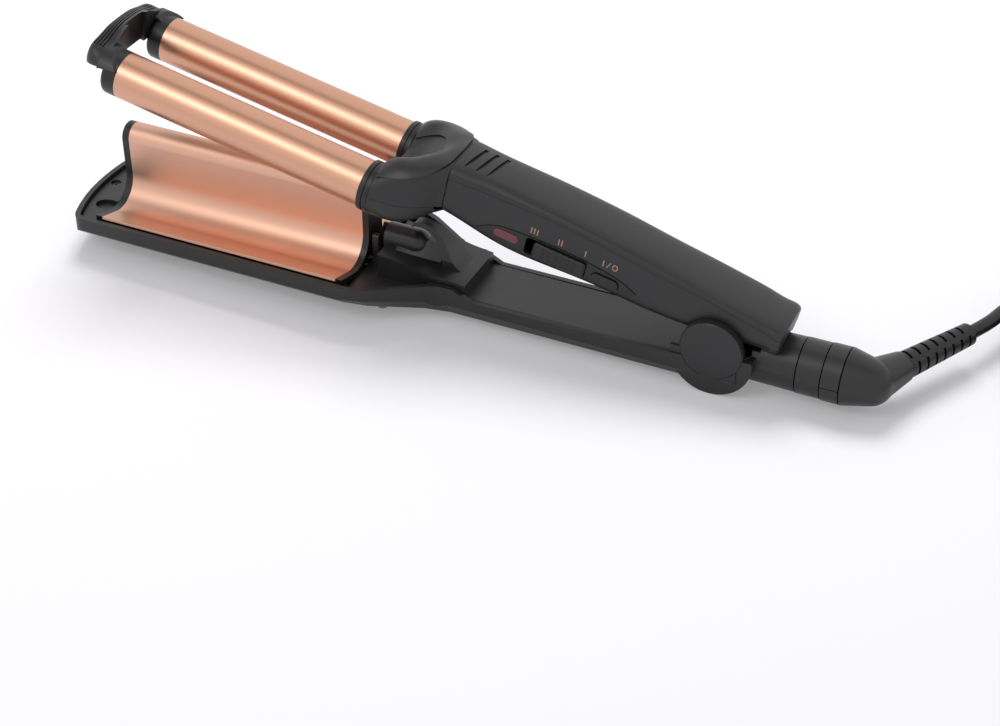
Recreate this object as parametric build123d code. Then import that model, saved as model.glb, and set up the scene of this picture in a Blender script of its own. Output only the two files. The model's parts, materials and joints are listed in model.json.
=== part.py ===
from build123d import *
import math
import os

os.makedirs("parts", exist_ok=True)


# ---------------------------------------------------------------------------
# Driving dimensions, millimetres and degrees.
# Everything is drawn about the hinge axis: x runs toward the cable, z up.
# The upper arm is drawn closed and then opened about that axis.
# ---------------------------------------------------------------------------
OPEN_ANGLE = 12.0
PIVOT_HEIGHT = 23.0

WALL = 2.0
GROOVE = 0.5
CLEARANCE = 0.3
RUNNING_FIT = 0.05

# barrels
BARREL_D = 22.0
BARREL_WALL = 1.4
BARREL_SPACING = 38.5
BARREL_AXIS_Z = 8.0
BARREL_FRONT_X = -297.0
BARREL_LENGTH = 127.0
COLLAR_LENGTH = 5.4
COLLAR_D = 23.8
TIP_CAP_LENGTH = 7.8

# wave plate
TROUGH_D = 25.4
TROUGH_AXIS_Z = 7.2
RIDGE_WIDTH = 13.1
RIDGE_TOP_Z = 31.5
LIP_ANGLE = 16.0
LIP_HALF_WIDTH = 34.4
PLATE_THICKNESS = 1.3
PLATE_FRONT_X = -301.6
PLATE_LENGTH = 126.1
FRONT_CAP_LENGTH = 3.7
REAR_CAP_LENGTH = 3.2

# lower arm
TIP_REACH = 323.2
TRAY_HALF_WIDTH = 38.8
TRAY_REAR_X = -172.0
NECK_END_X = -127.0
NECK_HALF_WIDTH = 18.6
ARM_REAR_HALF_WIDTH = 17.5
TRAY_RIM_Z = -3.0
RIM_INSET = 2.5
TIP_DECK_Z = -5.0
ARM_DECK_Z = -8.2
WELL_Z = -8.0
COVER_THICKNESS = 2.0
PLATEAU_HALF_WIDTH = 16.0
PLATEAU_FRONT_Z = 4.0
PLATEAU_REAR_Z = -1.5
PLATEAU_FRONT_X = -163.4
PLATEAU_REAR_X = -119.0

# hinge
PIN_D = 6.0
BUSH_WALL = 1.2
KNUCKLE_D = 24.0
LUG_D = 29.2
LUG_INNER_Y = 14.4
LUG_OUTER_Y = 17.0
DISC_D = 28.4
DISC_THICKNESS = 1.0
BULGE_D = 37.6
SPRING_D = 13.0
SPRING_WIRE_D = 1.4
SPRING_TURNS = 5

# tail and swivel
TAIL_AXIS_Z = -7.5
TAIL_START_X = 20.0
TAIL_D = 25.0
TAIL_LENGTH = 16.4
BAND_GAP = 0.6
TAIL_RING_LENGTH = 10.6
TAIL_RING_D = 25.4
HOUSING_LENGTH = 8.0
HOUSING_D = 26.0
SPINDLE_D = 10.0
ELBOW_ANGLE = 61.0
ELBOW_REACH = 10.2
ELBOW_END_D = 21.0
BOSS_REACH = 19.0
RELIEF_REACH = 60.0
RELIEF_D = 12.8
RELIEF_END_D = 10.4
RELIEF_SLOTS = 7
CORD_D = 6.4
SLIP_RING_WIDTH = 2.4

# inside the lower arm
CAP_DEPTH = 2.8
FRAME_TOP_Z = -9.4
CLAMP_T = 0.5
POST_TOP_Z = 7.6
DECK_CURVE_R = 190.0

LEAD_R = 0.8

# fasteners
SCREW_D = 2.4
SCREW_LENGTH = 7.0
SCREW_HEAD_D = 4.6
BOSS_D = 6.4

# handle
HANDLE_FRONT_X = -135.0
HANDLE_REAR_X = 27.0
HANDLE_HALF_WIDTH = 14.0
HANDLE_WALL = 1.8
SEAM_GAP = 0.15
HEAD_WALL = 1.8
HEAD_SPLIT_Z = 10.2

# controls
PANEL_FRONT_X = -118.0
PANEL_REAR_X = -39.5
PANEL_THICKNESS = 1.0
LENS_LENGTH = 12.0
LENS_HEIGHT = 4.2
LENS_X = -103.2
LENS_Z = 9.6
SLIDER_LENGTH = 25.0
SLIDER_HEIGHT = 8.4
SLIDER_X = -77.0
SLIDER_Z = 9.3
SLIDER_TRAVEL = 4.0
BUTTON_LENGTH = 13.0
BUTTON_HEIGHT = 5.2
BUTTON_X = -54.6
BUTTON_Z = 8.6
BUTTON_TRAVEL = 1.0
SLIDER_BACK_Y = -11.6
BOARD_Y = -4.0
BOARD_FRONT_X = -111.0
BOARD_REAR_X = -44.0
BOARD_THICKNESS = 1.6
BOARD_LOW_Z = 7.8
BOARD_HEIGHT = 11.0

# derived places
BARREL_R = BARREL_D / 2
BARREL_Y = BARREL_SPACING / 2
BARREL_REAR_X = BARREL_FRONT_X + BARREL_LENGTH
HEAD_FRONT_X = BARREL_REAR_X + COLLAR_LENGTH
PLATE_REAR_X = PLATE_FRONT_X + PLATE_LENGTH
TROUGH_R = TROUGH_D / 2
RIDGE_R = RIDGE_WIDTH / 2
TABLE_Z = -PIVOT_HEIGHT
PIN_R = PIN_D / 2
KNUCKLE_R = KNUCKLE_D / 2
LUG_R = LUG_D / 2
BULGE_R = BULGE_D / 2
BULGE_Z = TABLE_Z + BULGE_R
COVER_INSET = RIM_INSET + GROOVE
TAIL_END_X = TAIL_START_X + TAIL_LENGTH
RING_START_X = TAIL_END_X + BAND_GAP
RING_END_X = RING_START_X + TAIL_RING_LENGTH
HOUSING_START_X = RING_END_X + BAND_GAP
HOUSING_END_X = HOUSING_START_X + HOUSING_LENGTH
ELBOW_START_X = HOUSING_END_X + BAND_GAP
ELBOW_TURN_X = ELBOW_START_X + ELBOW_REACH
SPINDLE_R = SPINDLE_D / 2
SCREW_R = SCREW_D / 2
SCREW_HEAD_R = SCREW_HEAD_D / 2
BOSS_R = BOSS_D / 2
CORD_R = CORD_D / 2
ELBOW_BALL_R = ELBOW_END_D / 2
BOSS_WALL = 0.7
BOSS_TILT = math.radians(ELBOW_ANGLE)
BOSS_END_X = ELBOW_TURN_X + BOSS_REACH * math.cos(BOSS_TILT)
OBJECT_REAR_X = BOSS_END_X + (RELIEF_D / 2 + BOSS_WALL) * math.sin(BOSS_TILT)
PIVOT_X = (TIP_REACH - OBJECT_REAR_X) / 2


# ---------------------------------------------------------------------------
# Helpers
# ---------------------------------------------------------------------------


def box(x0, x1, y0, y1, z0, z1):
    middle = Pos((x0 + x1) / 2, (y0 + y1) / 2, (z0 + z1) / 2)
    return middle * Box(x1 - x0, y1 - y0, z1 - z0)


def cyl_x(x0, x1, y, z, r):
    return Pos((x0 + x1) / 2, y, z) * Rot(0, 90, 0) * Cylinder(r, x1 - x0)


def cyl_y(x, z, y0, y1, r):
    return Pos(x, (y0 + y1) / 2, z) * Rot(90, 0, 0) * Cylinder(r, y1 - y0)


def cyl_z(x, y, z0, z1, r):
    return Pos(x, y, (z0 + z1) / 2) * Cylinder(r, z1 - z0)


def cone_x(x0, x1, y, z, r0, r1):
    return Pos((x0 + x1) / 2, y, z) * Rot(0, 90, 0) * Cone(r0, r1, x1 - x0)


def ring_x(x0, x1, y, z, outer, inner):
    return cyl_x(x0, x1, y, z, outer) - cyl_x(x0 - 1, x1 + 1, y, z, inner)


def plane_x(x):
    return Plane(origin=(x, 0, 0), x_dir=(0, 1, 0), z_dir=(1, 0, 0))


def prism_x(points, x0, x1):
    face = plane_x(x0) * make_face(Polyline(*points, close=True))
    return extrude(face, x1 - x0)


def prism_y(points, y0, y1):
    side = Plane(origin=(0, y1, 0), x_dir=(1, 0, 0), z_dir=(0, -1, 0))
    return extrude(side * make_face(Polyline(*points, close=True)), y1 - y0)


def face_prism_y(edges, y0, y1):
    side = Plane(origin=(0, y1, 0), x_dir=(1, 0, 0), z_dir=(0, -1, 0))
    return extrude(side * make_face(edges), y1 - y0)


def both_sides(solid):
    return solid + mirror(solid, about=Plane.XZ)


def lerp(a, b, t):
    return a + (b - a) * t


def curve_at(table, x):
    """Value at x of a smooth curve through (x, value) pairs, ordered by x."""
    last = len(table) - 1
    i = 0
    while i < last - 1 and x > table[i + 1][0]:
        i += 1
    x0, v0 = table[i]
    x1, v1 = table[i + 1]
    before = table[i - 1] if i > 0 else (2 * x0 - x1, 2 * v0 - v1)
    after = table[i + 2] if i + 2 <= last else (2 * x1 - x0, 2 * v1 - v0)
    slope0 = (v1 - before[1]) / (x1 - before[0])
    slope1 = (after[1] - v0) / (after[0] - x0)
    h = x1 - x0
    t = min(max((x - x0) / h, 0.0), 1.0)
    a = 2 * t**3 - 3 * t**2 + 1
    b = t**3 - 2 * t**2 + t
    c = 3 * t**2 - 2 * t**3
    d = t**3 - t**2
    return a * v0 + b * h * slope0 + c * v1 + d * h * slope1


def tube(points, r, bend):
    path = FilletPolyline(*points, radius=bend)
    start = path.edges()[0]
    section = Plane(start @ 0, z_dir=start % 0) * Circle(r)
    return sweep(section, path)


# ---------------------------------------------------------------------------
# Lower arm: outline in plan, sections and levels
# ---------------------------------------------------------------------------


def plan_face(inset=0.0):
    """Outline in plan, each named point moved inward along its own normal."""
    w = TRAY_HALF_WIDTH
    corner_x = -TIP_REACH + 5.2
    drop = w - NECK_HALF_WIDTH
    run = NECK_END_X - TRAY_REAR_X

    def moved(x, y, tx, ty):
        size = math.hypot(tx, ty)
        return (x + inset * ty / size, y - inset * tx / size)

    tip = moved(-TIP_REACH, 0, 0, 1)
    cheek = moved(-TIP_REACH + 1.3, w - 21.8, 0.13, 1)
    turn_in = moved(corner_x, w - 6.8, 0.35, 1)
    turn_mid = moved(corner_x + 2.1, w - 2.2, 0.75, 0.66)
    turn_out = moved(corner_x + 7.0, w, 1, 0)
    side_end = moved(TRAY_REAR_X, w, 1, 0)
    neck_a = moved(TRAY_REAR_X + 0.31 * run, w - 0.18 * drop, 1, -0.5)
    neck_b = moved(TRAY_REAR_X + 0.62 * run, w - 0.60 * drop, 1, -0.67)
    neck_c = moved(TRAY_REAR_X + 0.79 * run, w - 0.87 * drop, 1, -0.5)
    arm_start = moved(NECK_END_X, NECK_HALF_WIDTH, 1, -0.01)
    arm_end = (12, ARM_REAR_HALF_WIDTH - inset)
    half = [
        Spline(tip, cheek, turn_in, tangents=[(0, 1), (0.35, 1)]),
        Spline(turn_in, turn_mid, turn_out, tangents=[(0.35, 1), (1, 0)]),
        Line(turn_out, side_end),
        Spline(side_end, neck_a, neck_b, neck_c, arm_start, tangents=[(1, 0), (1, -0.01)]),
        Line(arm_start, arm_end),
    ]
    end = Line(arm_end, (arm_end[0], -arm_end[1]))
    other = [mirror(edge, about=Plane.XZ) for edge in half]
    return make_face(half + [end] + other)


def plan_prism(inset, z0, z1):
    return Pos(0, 0, z0) * extrude(plan_face(inset), z1 - z0)


HULL_STATIONS = (-335, -172, -160.5, -149.5, -138.5, -127, 14)


def hull_blend(x):
    """0 on the tray, 1 on the slim arm."""
    t = (x - TRAY_REAR_X) / (NECK_END_X - TRAY_REAR_X)
    t = min(max(t, 0.0), 1.0)
    return t * t * (3 - 2 * t)


def hull_section(x, inset):
    t = hull_blend(x)
    flat = lerp(12.0, 6.0, t) - 0.5 * inset
    low_y = lerp(34.5, 15.5, t) - 0.85 * inset
    low_z = lerp(-13.6, -18.0, t) + 0.75 * inset
    high_y = lerp(40.5, 18.9, t) - inset
    high_z = lerp(-8.0, -11.5, t) + 0.4 * inset
    floor = TABLE_Z + inset
    half = [(flat, floor), (low_y, low_z), (high_y, high_z), (high_y, 22)]
    other = [(-y, z) for y, z in reversed(half)]
    line = FilletPolyline(*(half + other), radius=3.2, close=True)
    return plane_x(x) * make_face(line)


def hull(inset=0.0):
    return loft([hull_section(x, inset) for x in HULL_STATIONS], ruled=True)


def rim_z(x):
    table = ((-335, TRAY_RIM_Z), (-124, TRAY_RIM_Z), (-115, -7.5), (-50, -7.2), (40, -3.5))
    for (x0, z0), (x1, z1) in zip(table, table[1:]):
        if x <= x1:
            return lerp(z0, z1, (x - x0) / (x1 - x0))
    return table[-1][1]


def above_rim(lift=0.0, x1=40):
    xs = [x for x in (-335, -124, -115, -50) if x < x1] + [x1]
    line = [(x, rim_z(x) + lift) for x in xs]
    return prism_y(line + [(x1, 40), (-335, 40)], -60, 60)


def tail_solid(grow=0.0, x0=None, x1=None):
    a = TAIL_START_X - 12 if x0 is None else x0
    b = TAIL_END_X if x1 is None else x1
    r = TAIL_D / 2 + grow
    return cone_x(a, b, 0, TAIL_AXIS_Z, r - 0.3, r)


BULGE_INNER_R = BULGE_R - WALL
TIP_SCREW_X = -316.5
TIP_SCREW_Y = -1.0
TIP_SCREW_DROP = 1.2
TIP_SCREW_SHANK = 4.5
UNDER_SCREWS = ((-100.0, 0.0), (-42.0, 0.0), (-157.0, 24.0), (-157.0, -24.0))
UNDER_BOSS = 3.2
SCREW_HEAD_HEIGHT = 1.05


def cover_level(x):
    if x < PLATE_REAR_X:
        return TIP_DECK_Z
    if x < PLATEAU_REAR_X:
        return WELL_Z
    return ARM_DECK_Z


def boss_top(x):
    return cover_level(x) - COVER_THICKNESS


def under_screw_seat(x):
    return boss_top(x) - 0.2 - SCREW_LENGTH + 0.5


def lower_shell():
    body = hull() & plan_prism(0, TABLE_Z - 1, 40)
    bow_cut = prism_y(
        [(-340, -30), (-300, -30), (-304, TABLE_Z - 0.01), (-TIP_REACH + 1, -12.2),
         (-TIP_REACH - 1, -9.7), (-340, -9.7)],
        -60, 60,
    )
    body = body - bow_cut - above_rim()
    inner = hull(WALL) & plan_prism(RIM_INSET, TABLE_Z, 40)
    inner = inner - prism_y(
        [(-340, -40), (-290, -40), (-299, TABLE_Z + WALL), (-TIP_REACH + 4, -10.6), (-340, -10.6)],
        -60, 60,
    )
    inner = inner & box(-340, -14, -60, 60, -40, 40)
    bulge = cyl_y(0, BULGE_Z, -LUG_OUTER_Y, LUG_OUTER_Y, BULGE_R)
    lugs = cyl_y(0, 0, -LUG_OUTER_Y, LUG_OUTER_Y, LUG_R)
    lug_body = (bulge & box(-30, 30, -30, 30, -40, -2)) + lugs
    neck_top = prism_y([(-16, -40), (-16, -4), (-12, 0), (24, 0), (24, -40)], -30, 30)
    lug_body = lug_body + (tail_solid() & box(0, 60, -30, 30, -40, TAIL_AXIS_Z))
    lug_body = lug_body + (cyl_x(10, TAIL_START_X, 0, TAIL_AXIS_Z, TAIL_D / 2 - 0.3) & neck_top)
    body = body + lug_body
    body = body - inner
    pocket = cyl_y(0, BULGE_Z, -LUG_INNER_Y, LUG_INNER_Y, BULGE_INNER_R)
    pocket = pocket + cyl_y(0, 0, -LUG_INNER_Y, LUG_INNER_Y, KNUCKLE_R + 1.2)
    pocket = pocket + box(-19, 4, -LUG_INNER_Y, LUG_INNER_Y, -9, 30)
    pocket = pocket + box(-4, TAIL_START_X, -LUG_INNER_Y, LUG_INNER_Y, 0.5, 30)
    body = body - pocket
    body = body - cyl_x(8, TAIL_END_X + 1, 0, TAIL_AXIS_Z, TAIL_D / 2 - 0.3 - WALL)
    body = body - cyl_y(0, 0, -30, 30, PIN_R)
    body = body - both_sides(cyl_y(0, 0, LUG_OUTER_Y, 30, DISC_D / 2 + 0.2))
    seat = hull(WALL / 2) - bow_cut
    for x, y in UNDER_SCREWS:
        post = cyl_z(x, y, TABLE_Z, boss_top(x) - UNDER_BOSS, BOSS_R)
        body = body + (post & seat)
        body = body - cyl_z(x, y, TABLE_Z, boss_top(x), SCREW_R + 0.15)
        body = body - cyl_z(x, y, TABLE_Z - 1, under_screw_seat(x), SCREW_HEAD_R + 0.2)
    top = boss_top(TIP_SCREW_X) - TIP_SCREW_DROP
    body = body + (cyl_z(TIP_SCREW_X, TIP_SCREW_Y, TABLE_Z, top, BOSS_R) & seat)
    return body - cyl_z(TIP_SCREW_X, TIP_SCREW_Y, top - TIP_SCREW_SHANK, top + 1, SCREW_R)


# ---------------------------------------------------------------------------
# Lower arm: cover, guide behind the plate and the fittings around them
# ---------------------------------------------------------------------------


def arm_cover():
    t = COVER_THICKNESS
    zone = plan_prism(COVER_INSET, -40, 40)
    front_edge = PLATE_FRONT_X - FRONT_CAP_LENGTH - GROOVE
    rear_edge = PLATE_REAR_X + REAR_CAP_LENGTH
    strip_y = LIP_HALF_WIDTH - 3.2
    cover = box(-TIP_REACH, front_edge, -60, 60, TIP_DECK_Z - t, TIP_DECK_Z)
    for y in (-20.0, 20.0):
        dish = Pos(front_edge - 2.6, y, TIP_DECK_Z - 2.0) * extrude(Ellipse(6.5, 4.5), 5)
        pad = Pos(front_edge - 2.6, y, TIP_DECK_Z - 3.8) * extrude(Ellipse(8.0, 6.0), 3.0)
        pad = pad & box(-TIP_REACH, front_edge, -60, 60, -20, 0)
        cover = cover + pad - dish
    strip_z = TIP_DECK_Z - 0.5
    cover = cover + both_sides(box(front_edge - 1, rear_edge + 1, strip_y, 60, strip_z - t, strip_z))
    well = box(rear_edge + 0.1, PLATEAU_REAR_X, -60, 60, WELL_Z - t, WELL_Z)
    flange_zone = box(rear_edge + 0.1, PLATEAU_REAR_X, -60, 60, WELL_Z - t, TRAY_RIM_Z - 1.8)
    flange = flange_zone - plan_prism(COVER_INSET + 1.6, -50, 50)
    link = box(rear_edge + 0.1, rear_edge + 1, strip_y, 60, WELL_Z - t, strip_z)
    cover = cover + ((well + flange + both_sides(link)) & hull(WALL + 0.15))
    w = PLATEAU_HALF_WIDTH
    front = PLATEAU_FRONT_X
    rear = PLATEAU_REAR_X
    wedge = prism_y(
        [(front, PLATEAU_FRONT_Z), (rear, PLATEAU_REAR_Z), (rear, ARM_DECK_Z - t), (front, WELL_Z - t)],
        -w, w,
    )
    hollow = prism_y(
        [(front + t, PLATEAU_FRONT_Z - t), (rear - t, PLATEAU_REAR_Z - t), (rear - t, -30), (front + t, -30)],
        -w + t, w - t,
    )
    cover = cover + wedge - hollow
    floor = box(front + t, front + 12, -w + t, w - t, WELL_Z - t, WELL_Z)
    cover = cover + floor
    deck = box(rear - 2, -16.0, -60, 60, ARM_DECK_Z - t, ARM_DECK_Z + 0.7)
    deck = deck - cyl_x(rear - 4, 0, 0, ARM_DECK_Z + DECK_CURVE_R, DECK_CURVE_R)
    keep_step = box(rear - 2, rear, -w, w, ARM_DECK_Z - t, PLATEAU_REAR_Z)
    cover = (cover + deck + keep_step) & zone
    for x, y in UNDER_SCREWS:
        cover = cover + cyl_z(x, y, boss_top(x) - UNDER_BOSS, boss_top(x) + 0.5, BOSS_R)
        cover = cover - cyl_z(x, y, boss_top(x) - UNDER_BOSS - 1, boss_top(x), SCREW_R)
    low = boss_top(TIP_SCREW_X) - TIP_SCREW_DROP
    sleeve = cyl_z(TIP_SCREW_X, TIP_SCREW_Y, low, low + TIP_SCREW_DROP + 0.5, BOSS_R)
    cover = cover + (sleeve & zone) - cyl_z(TIP_SCREW_X, TIP_SCREW_Y, low - 1, 5, SCREW_R + 0.15)
    return cover - cyl_z(TIP_SCREW_X, TIP_SCREW_Y, low + 0.9, 5, SCREW_HEAD_R + 0.2)


def cross_screw(x, y, seat, shank, up):
    """Screw with a cross recess; its head lies on the seat and its shank points up or down."""
    head_z = seat - SCREW_HEAD_HEIGHT if up > 0 else seat
    outer_z = seat - up * SCREW_HEAD_HEIGHT
    z0 = min(seat, seat + up * shank)
    z1 = max(seat, seat + up * shank)
    screw = cyl_z(x, y, z0, z1, SCREW_R - 0.02) + cyl_z(x, y, head_z, head_z + SCREW_HEAD_HEIGHT, SCREW_HEAD_R)
    screw = screw - box(x - 1.3, x + 1.3, y - 0.25, y + 0.25, outer_z - 0.6, outer_z + 0.6)
    return (screw - box(x - 0.25, x + 0.25, y - 1.3, y + 1.3, outer_z - 0.6, outer_z + 0.6)).solid()


def arm_screws():
    screws = [cross_screw(x, y, under_screw_seat(x), SCREW_LENGTH - 0.5, 1) for x, y in UNDER_SCREWS]
    tip_seat = boss_top(TIP_SCREW_X) - TIP_SCREW_DROP + 0.9
    screws.append(cross_screw(TIP_SCREW_X, TIP_SCREW_Y, tip_seat, TIP_SCREW_SHANK + 0.6, -1))
    return Compound(children=screws)


def plate_half(offset_in):
    """Half of the W line at a distance below the heated face."""
    r = TROUGH_R + offset_in
    ridge_r = RIDGE_R - offset_in
    ridge_z = RIDGE_TOP_Z - RIDGE_R
    y0 = BARREL_Y
    a = math.radians(LIP_ANGLE)
    end_y = y0 + r * math.sin(a)
    end_z = TROUGH_AXIS_Z - r * math.cos(a)
    lip_y = LIP_HALF_WIDTH + offset_in * math.sin(a)
    lip_z = end_z + (lip_y - end_y) * math.tan(a)
    half_turn = math.radians(45)
    flank_y = y0 - r
    lines = []
    crown_mid = (ridge_r * math.sin(half_turn), ridge_z + ridge_r * math.cos(half_turn))
    lines.append(ThreePointArc((0, ridge_z + ridge_r), crown_mid, (flank_y, ridge_z)))
    lines.append(Line((flank_y, ridge_z), (flank_y, TROUGH_AXIS_Z)))
    low = (y0 - r * math.sin(half_turn), TROUGH_AXIS_Z - r * math.cos(half_turn))
    lines.append(ThreePointArc((flank_y, TROUGH_AXIS_Z), low, (end_y, end_z)))
    lines.append(Line((end_y, end_z), (lip_y, lip_z)))
    return lines, (lip_y, lip_z)


def plate_band(x0, x1, outer, inner):
    top, top_end = plate_half(outer)
    low, low_end = plate_half(inner)
    half = top + [Line(top_end, low_end)] + low
    other = [mirror(edge, about=Plane.YZ) for edge in half]
    return extrude(plane_x(x0) * make_face(half + other), x1 - x0)


def plate_block(x0, x1, offset_in, floor):
    line, end = plate_half(offset_in)
    half = line + [Line(end, (end[0], floor))]
    other = [mirror(edge, about=Plane.YZ) for edge in half]
    base = Line((end[0], floor), (-end[0], floor))
    return extrude(plane_x(x0) * make_face(half + other + [base]), x1 - x0)


def wave_plate():
    return plate_band(PLATE_FRONT_X, PLATE_REAR_X, 0, PLATE_THICKNESS)


def plate_cap(x0, x1):
    cap = plate_block(x0, x1, 0, -30) - plate_block(x0 - 1, x1 + 1, CAP_DEPTH, -31)
    crown = plate_block(x0, x1, 0, -30) & box(x0, x1, -RIDGE_R, RIDGE_R, BARREL_AXIS_Z - 6, 60)
    return cap + crown


def plate_frame():
    x0 = PLATE_FRONT_X + 2
    x1 = PLATE_REAR_X - 2
    base_z = FRAME_TOP_Z - 2
    frame = box(x0, x1, -30, 30, base_z, FRAME_TOP_Z)
    for x in (-272.0, -238.0, -204.0):
        frame = frame - box(x - 8, x + 8, -6, 6, base_z - 1, FRAME_TOP_Z + 1)
    ribs = box(x0, x1, 28.0, 30.0, FRAME_TOP_Z, 5)
    ribs = both_sides(ribs)
    ribs = ribs + box(x0, x1, -2.0, 2.0, FRAME_TOP_Z, RIDGE_TOP_Z)
    ribs = ribs - box(x0 + 12, x1 - 12, -3, 3, FRAME_TOP_Z, RIDGE_TOP_Z - 10)
    frame = frame + (ribs & plate_block(x0, x1, PLATE_THICKNESS, -30))
    for x in (x0 + 8, x1 - 8):
        for y in (-22.0, 22.0):
            frame = frame + (cyl_z(x, y, TABLE_Z, base_z, 2.6) & hull(WALL))
    return frame


def trough_heaters():
    bars = []
    for y in (-BARREL_Y, BARREL_Y):
        bar = box(PLATE_FRONT_X + 28, PLATE_REAR_X - 28, y - 6, y + 6, FRAME_TOP_Z + CLAMP_T, 0)
        bars.append((bar & plate_block(-400, 0, PLATE_THICKNESS, -30)).solid())
    return Compound(children=bars)


def heater_clamps():
    clips = []
    for y in (-BARREL_Y, BARREL_Y):
        for x in (PLATE_FRONT_X + 42, PLATE_REAR_X - 42):
            clips.append(box(x - 4, x + 4, y - 8.5, y + 8.5, FRAME_TOP_Z, FRAME_TOP_Z + CLAMP_T).solid())
    return Compound(children=clips)


def plate_fuse():
    return cyl_x(PLATE_REAR_X - 26, PLATE_REAR_X - 14, 10, FRAME_TOP_Z + 2, 2.0)


def guide_posts():
    base = box(-171.0, -166.6, -7.6, 7.6, WELL_Z, WELL_Z + 2)
    posts = Part()
    for y in (-5.4, 5.4):
        upright = box(-170.5, -167.4, y - 1.5, y + 1.5, WELL_Z, POST_TOP_Z - 1.5)
        upright = upright + cyl_x(-170.5, -167.4, y, POST_TOP_Z - 1.5, 1.5)
        posts = posts + upright
    return base + posts


# ---------------------------------------------------------------------------
# Hinge, tail and cable swivel
# ---------------------------------------------------------------------------
BUSH_R = PIN_R + RUNNING_FIT + BUSH_WALL
SPRING_HALF = SPRING_TURNS * SPRING_WIRE_D * 0.6
CHEEK_Y = SPRING_HALF + SPRING_WIRE_D + 0.5
KNUCKLE_Y = HANDLE_HALF_WIDTH
TAIL_R = TAIL_D / 2
TAIL_INNER_R = TAIL_R - 0.3 - WALL
SLEEVE_R = TAIL_INNER_R - 0.02
HOUSING_WALL_X = HOUSING_END_X - 3.0
SLIP_RING_R = SPINDLE_R + 1.2


def hinge_pin():
    return cyl_y(0, 0, -LUG_OUTER_Y, LUG_OUTER_Y, PIN_R)


def hinge_bushes():
    bore = cyl_y(0, 0, -30, 30, PIN_R + RUNNING_FIT)
    far = cyl_y(0, 0, CHEEK_Y, KNUCKLE_Y, BUSH_R)
    near = cyl_y(0, 0, -KNUCKLE_Y, -CHEEK_Y, BUSH_R)
    return Compound(children=[(far - bore).solid(), (near - bore).solid()])


def hinge_disc(side):
    outer = cyl_y(0, 0, LUG_OUTER_Y, LUG_OUTER_Y + DISC_THICKNESS, DISC_D / 2)
    edge = outer.edges().filter_by(GeomType.CIRCLE).sort_by(Axis.Y)[-1]
    outer = chamfer(edge, 0.35)
    return outer if side > 0 else mirror(outer, about=Plane.XZ)


def hinge_spring():
    r = SPRING_D / 2
    pitch = 2 * SPRING_HALF / SPRING_TURNS
    helix = Helix(pitch=pitch, height=2 * SPRING_HALF, radius=r)
    start = helix @ 0
    wire_face = Plane(start, z_dir=helix % 0) * Circle(SPRING_WIRE_D / 2)
    coil = sweep(wire_face, helix, is_frenet=True)
    coil = Pos(0, SPRING_HALF, 0) * Rot(90, 0, 0) * coil
    floor_z = BULGE_Z - math.sqrt(BULGE_INNER_R**2 - r**2)
    leg_r = SPRING_WIRE_D / 2 - 0.06
    down = cyl_z(r, SPRING_HALF, floor_z + 0.2, 0.4, leg_r)
    up = cyl_z(r, -SPRING_HALF, -0.4, KNUCKLE_R - 3, leg_r)
    return coil + down + up


def tail_half(x0, x1, upper):
    z0, z1 = (TAIL_AXIS_Z, 30) if upper else (-60, TAIL_AXIS_Z)
    shape = tail_solid(0, x0, x1) - cyl_x(x0 - 1, x1 + 1, 0, TAIL_AXIS_Z, TAIL_INNER_R)
    return shape & box(x0, x1, -30, 30, z0, z1)


def tail_cover():
    cover = tail_half(TAIL_START_X, TAIL_END_X, True)
    wall = cyl_x(TAIL_START_X, TAIL_START_X + WALL, 0, TAIL_AXIS_Z, TAIL_INNER_R + 0.5)
    wall = wall & box(TAIL_START_X, TAIL_END_X, -30, 30, TAIL_AXIS_Z, 30)
    wall = wall - cyl_x(TAIL_START_X - 1, TAIL_END_X, 0, TAIL_AXIS_Z, 4.0)
    return cover + wall


def tail_ring():
    band = ring_x(RING_START_X, RING_END_X, 0, TAIL_AXIS_Z, TAIL_RING_D / 2, SLEEVE_R - 1.2)
    sleeve = ring_x(TAIL_END_X - 4, HOUSING_START_X + 3, 0, TAIL_AXIS_Z, SLEEVE_R, SLEEVE_R - 1.2)
    return band + sleeve


def swivel_housing():
    shell = ring_x(HOUSING_START_X, HOUSING_END_X, 0, TAIL_AXIS_Z, HOUSING_D / 2, TAIL_INNER_R)
    wall = cyl_x(HOUSING_WALL_X, HOUSING_END_X, 0, TAIL_AXIS_Z, TAIL_INNER_R + 0.5)
    wall = wall - cyl_x(HOUSING_WALL_X - 1, HOUSING_END_X + 1, 0, TAIL_AXIS_Z, SPINDLE_R + RUNNING_FIT)
    seam_y = HOUSING_D / 2
    seam = box(HOUSING_START_X - 1, HOUSING_END_X + 1, -seam_y - 1, -seam_y + 0.4,
               TAIL_AXIS_Z - 0.2, TAIL_AXIS_Z + 0.2)
    return shell + wall - seam - mirror(seam, about=Plane.XZ)


def contact_block():
    gap_r = SLIP_RING_R + CLEARANCE
    block = box(RING_START_X + 1, RING_END_X - 1, -4, 4, TAIL_AXIS_Z + gap_r, 30)
    block = block & cyl_x(0, 60, 0, TAIL_AXIS_Z, SLEEVE_R - 1.2)
    return block - cyl_x(0, 60, 0, TAIL_AXIS_Z, gap_r)


def swivel_spindle():
    spindle = cyl_x(RING_START_X, ELBOW_START_X + 0.5, 0, TAIL_AXIS_Z, SPINDLE_R)
    flange = cyl_x(HOUSING_WALL_X - 1.8, HOUSING_WALL_X - CLEARANCE, 0, TAIL_AXIS_Z, SLEEVE_R - 2.0)
    bore = cyl_x(RING_START_X - 1, ELBOW_START_X + 2, 0, TAIL_AXIS_Z, SPINDLE_R - 2.5)
    return spindle + flange - bore


def slip_rings():
    rings = []
    for i in range(2):
        x = RING_START_X + 2.2 + i * (SLIP_RING_WIDTH + 1.4)
        rings.append(ring_x(x, x + SLIP_RING_WIDTH, 0, TAIL_AXIS_Z, SLIP_RING_R, SPINDLE_R).solid())
    return Compound(children=rings)


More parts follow.
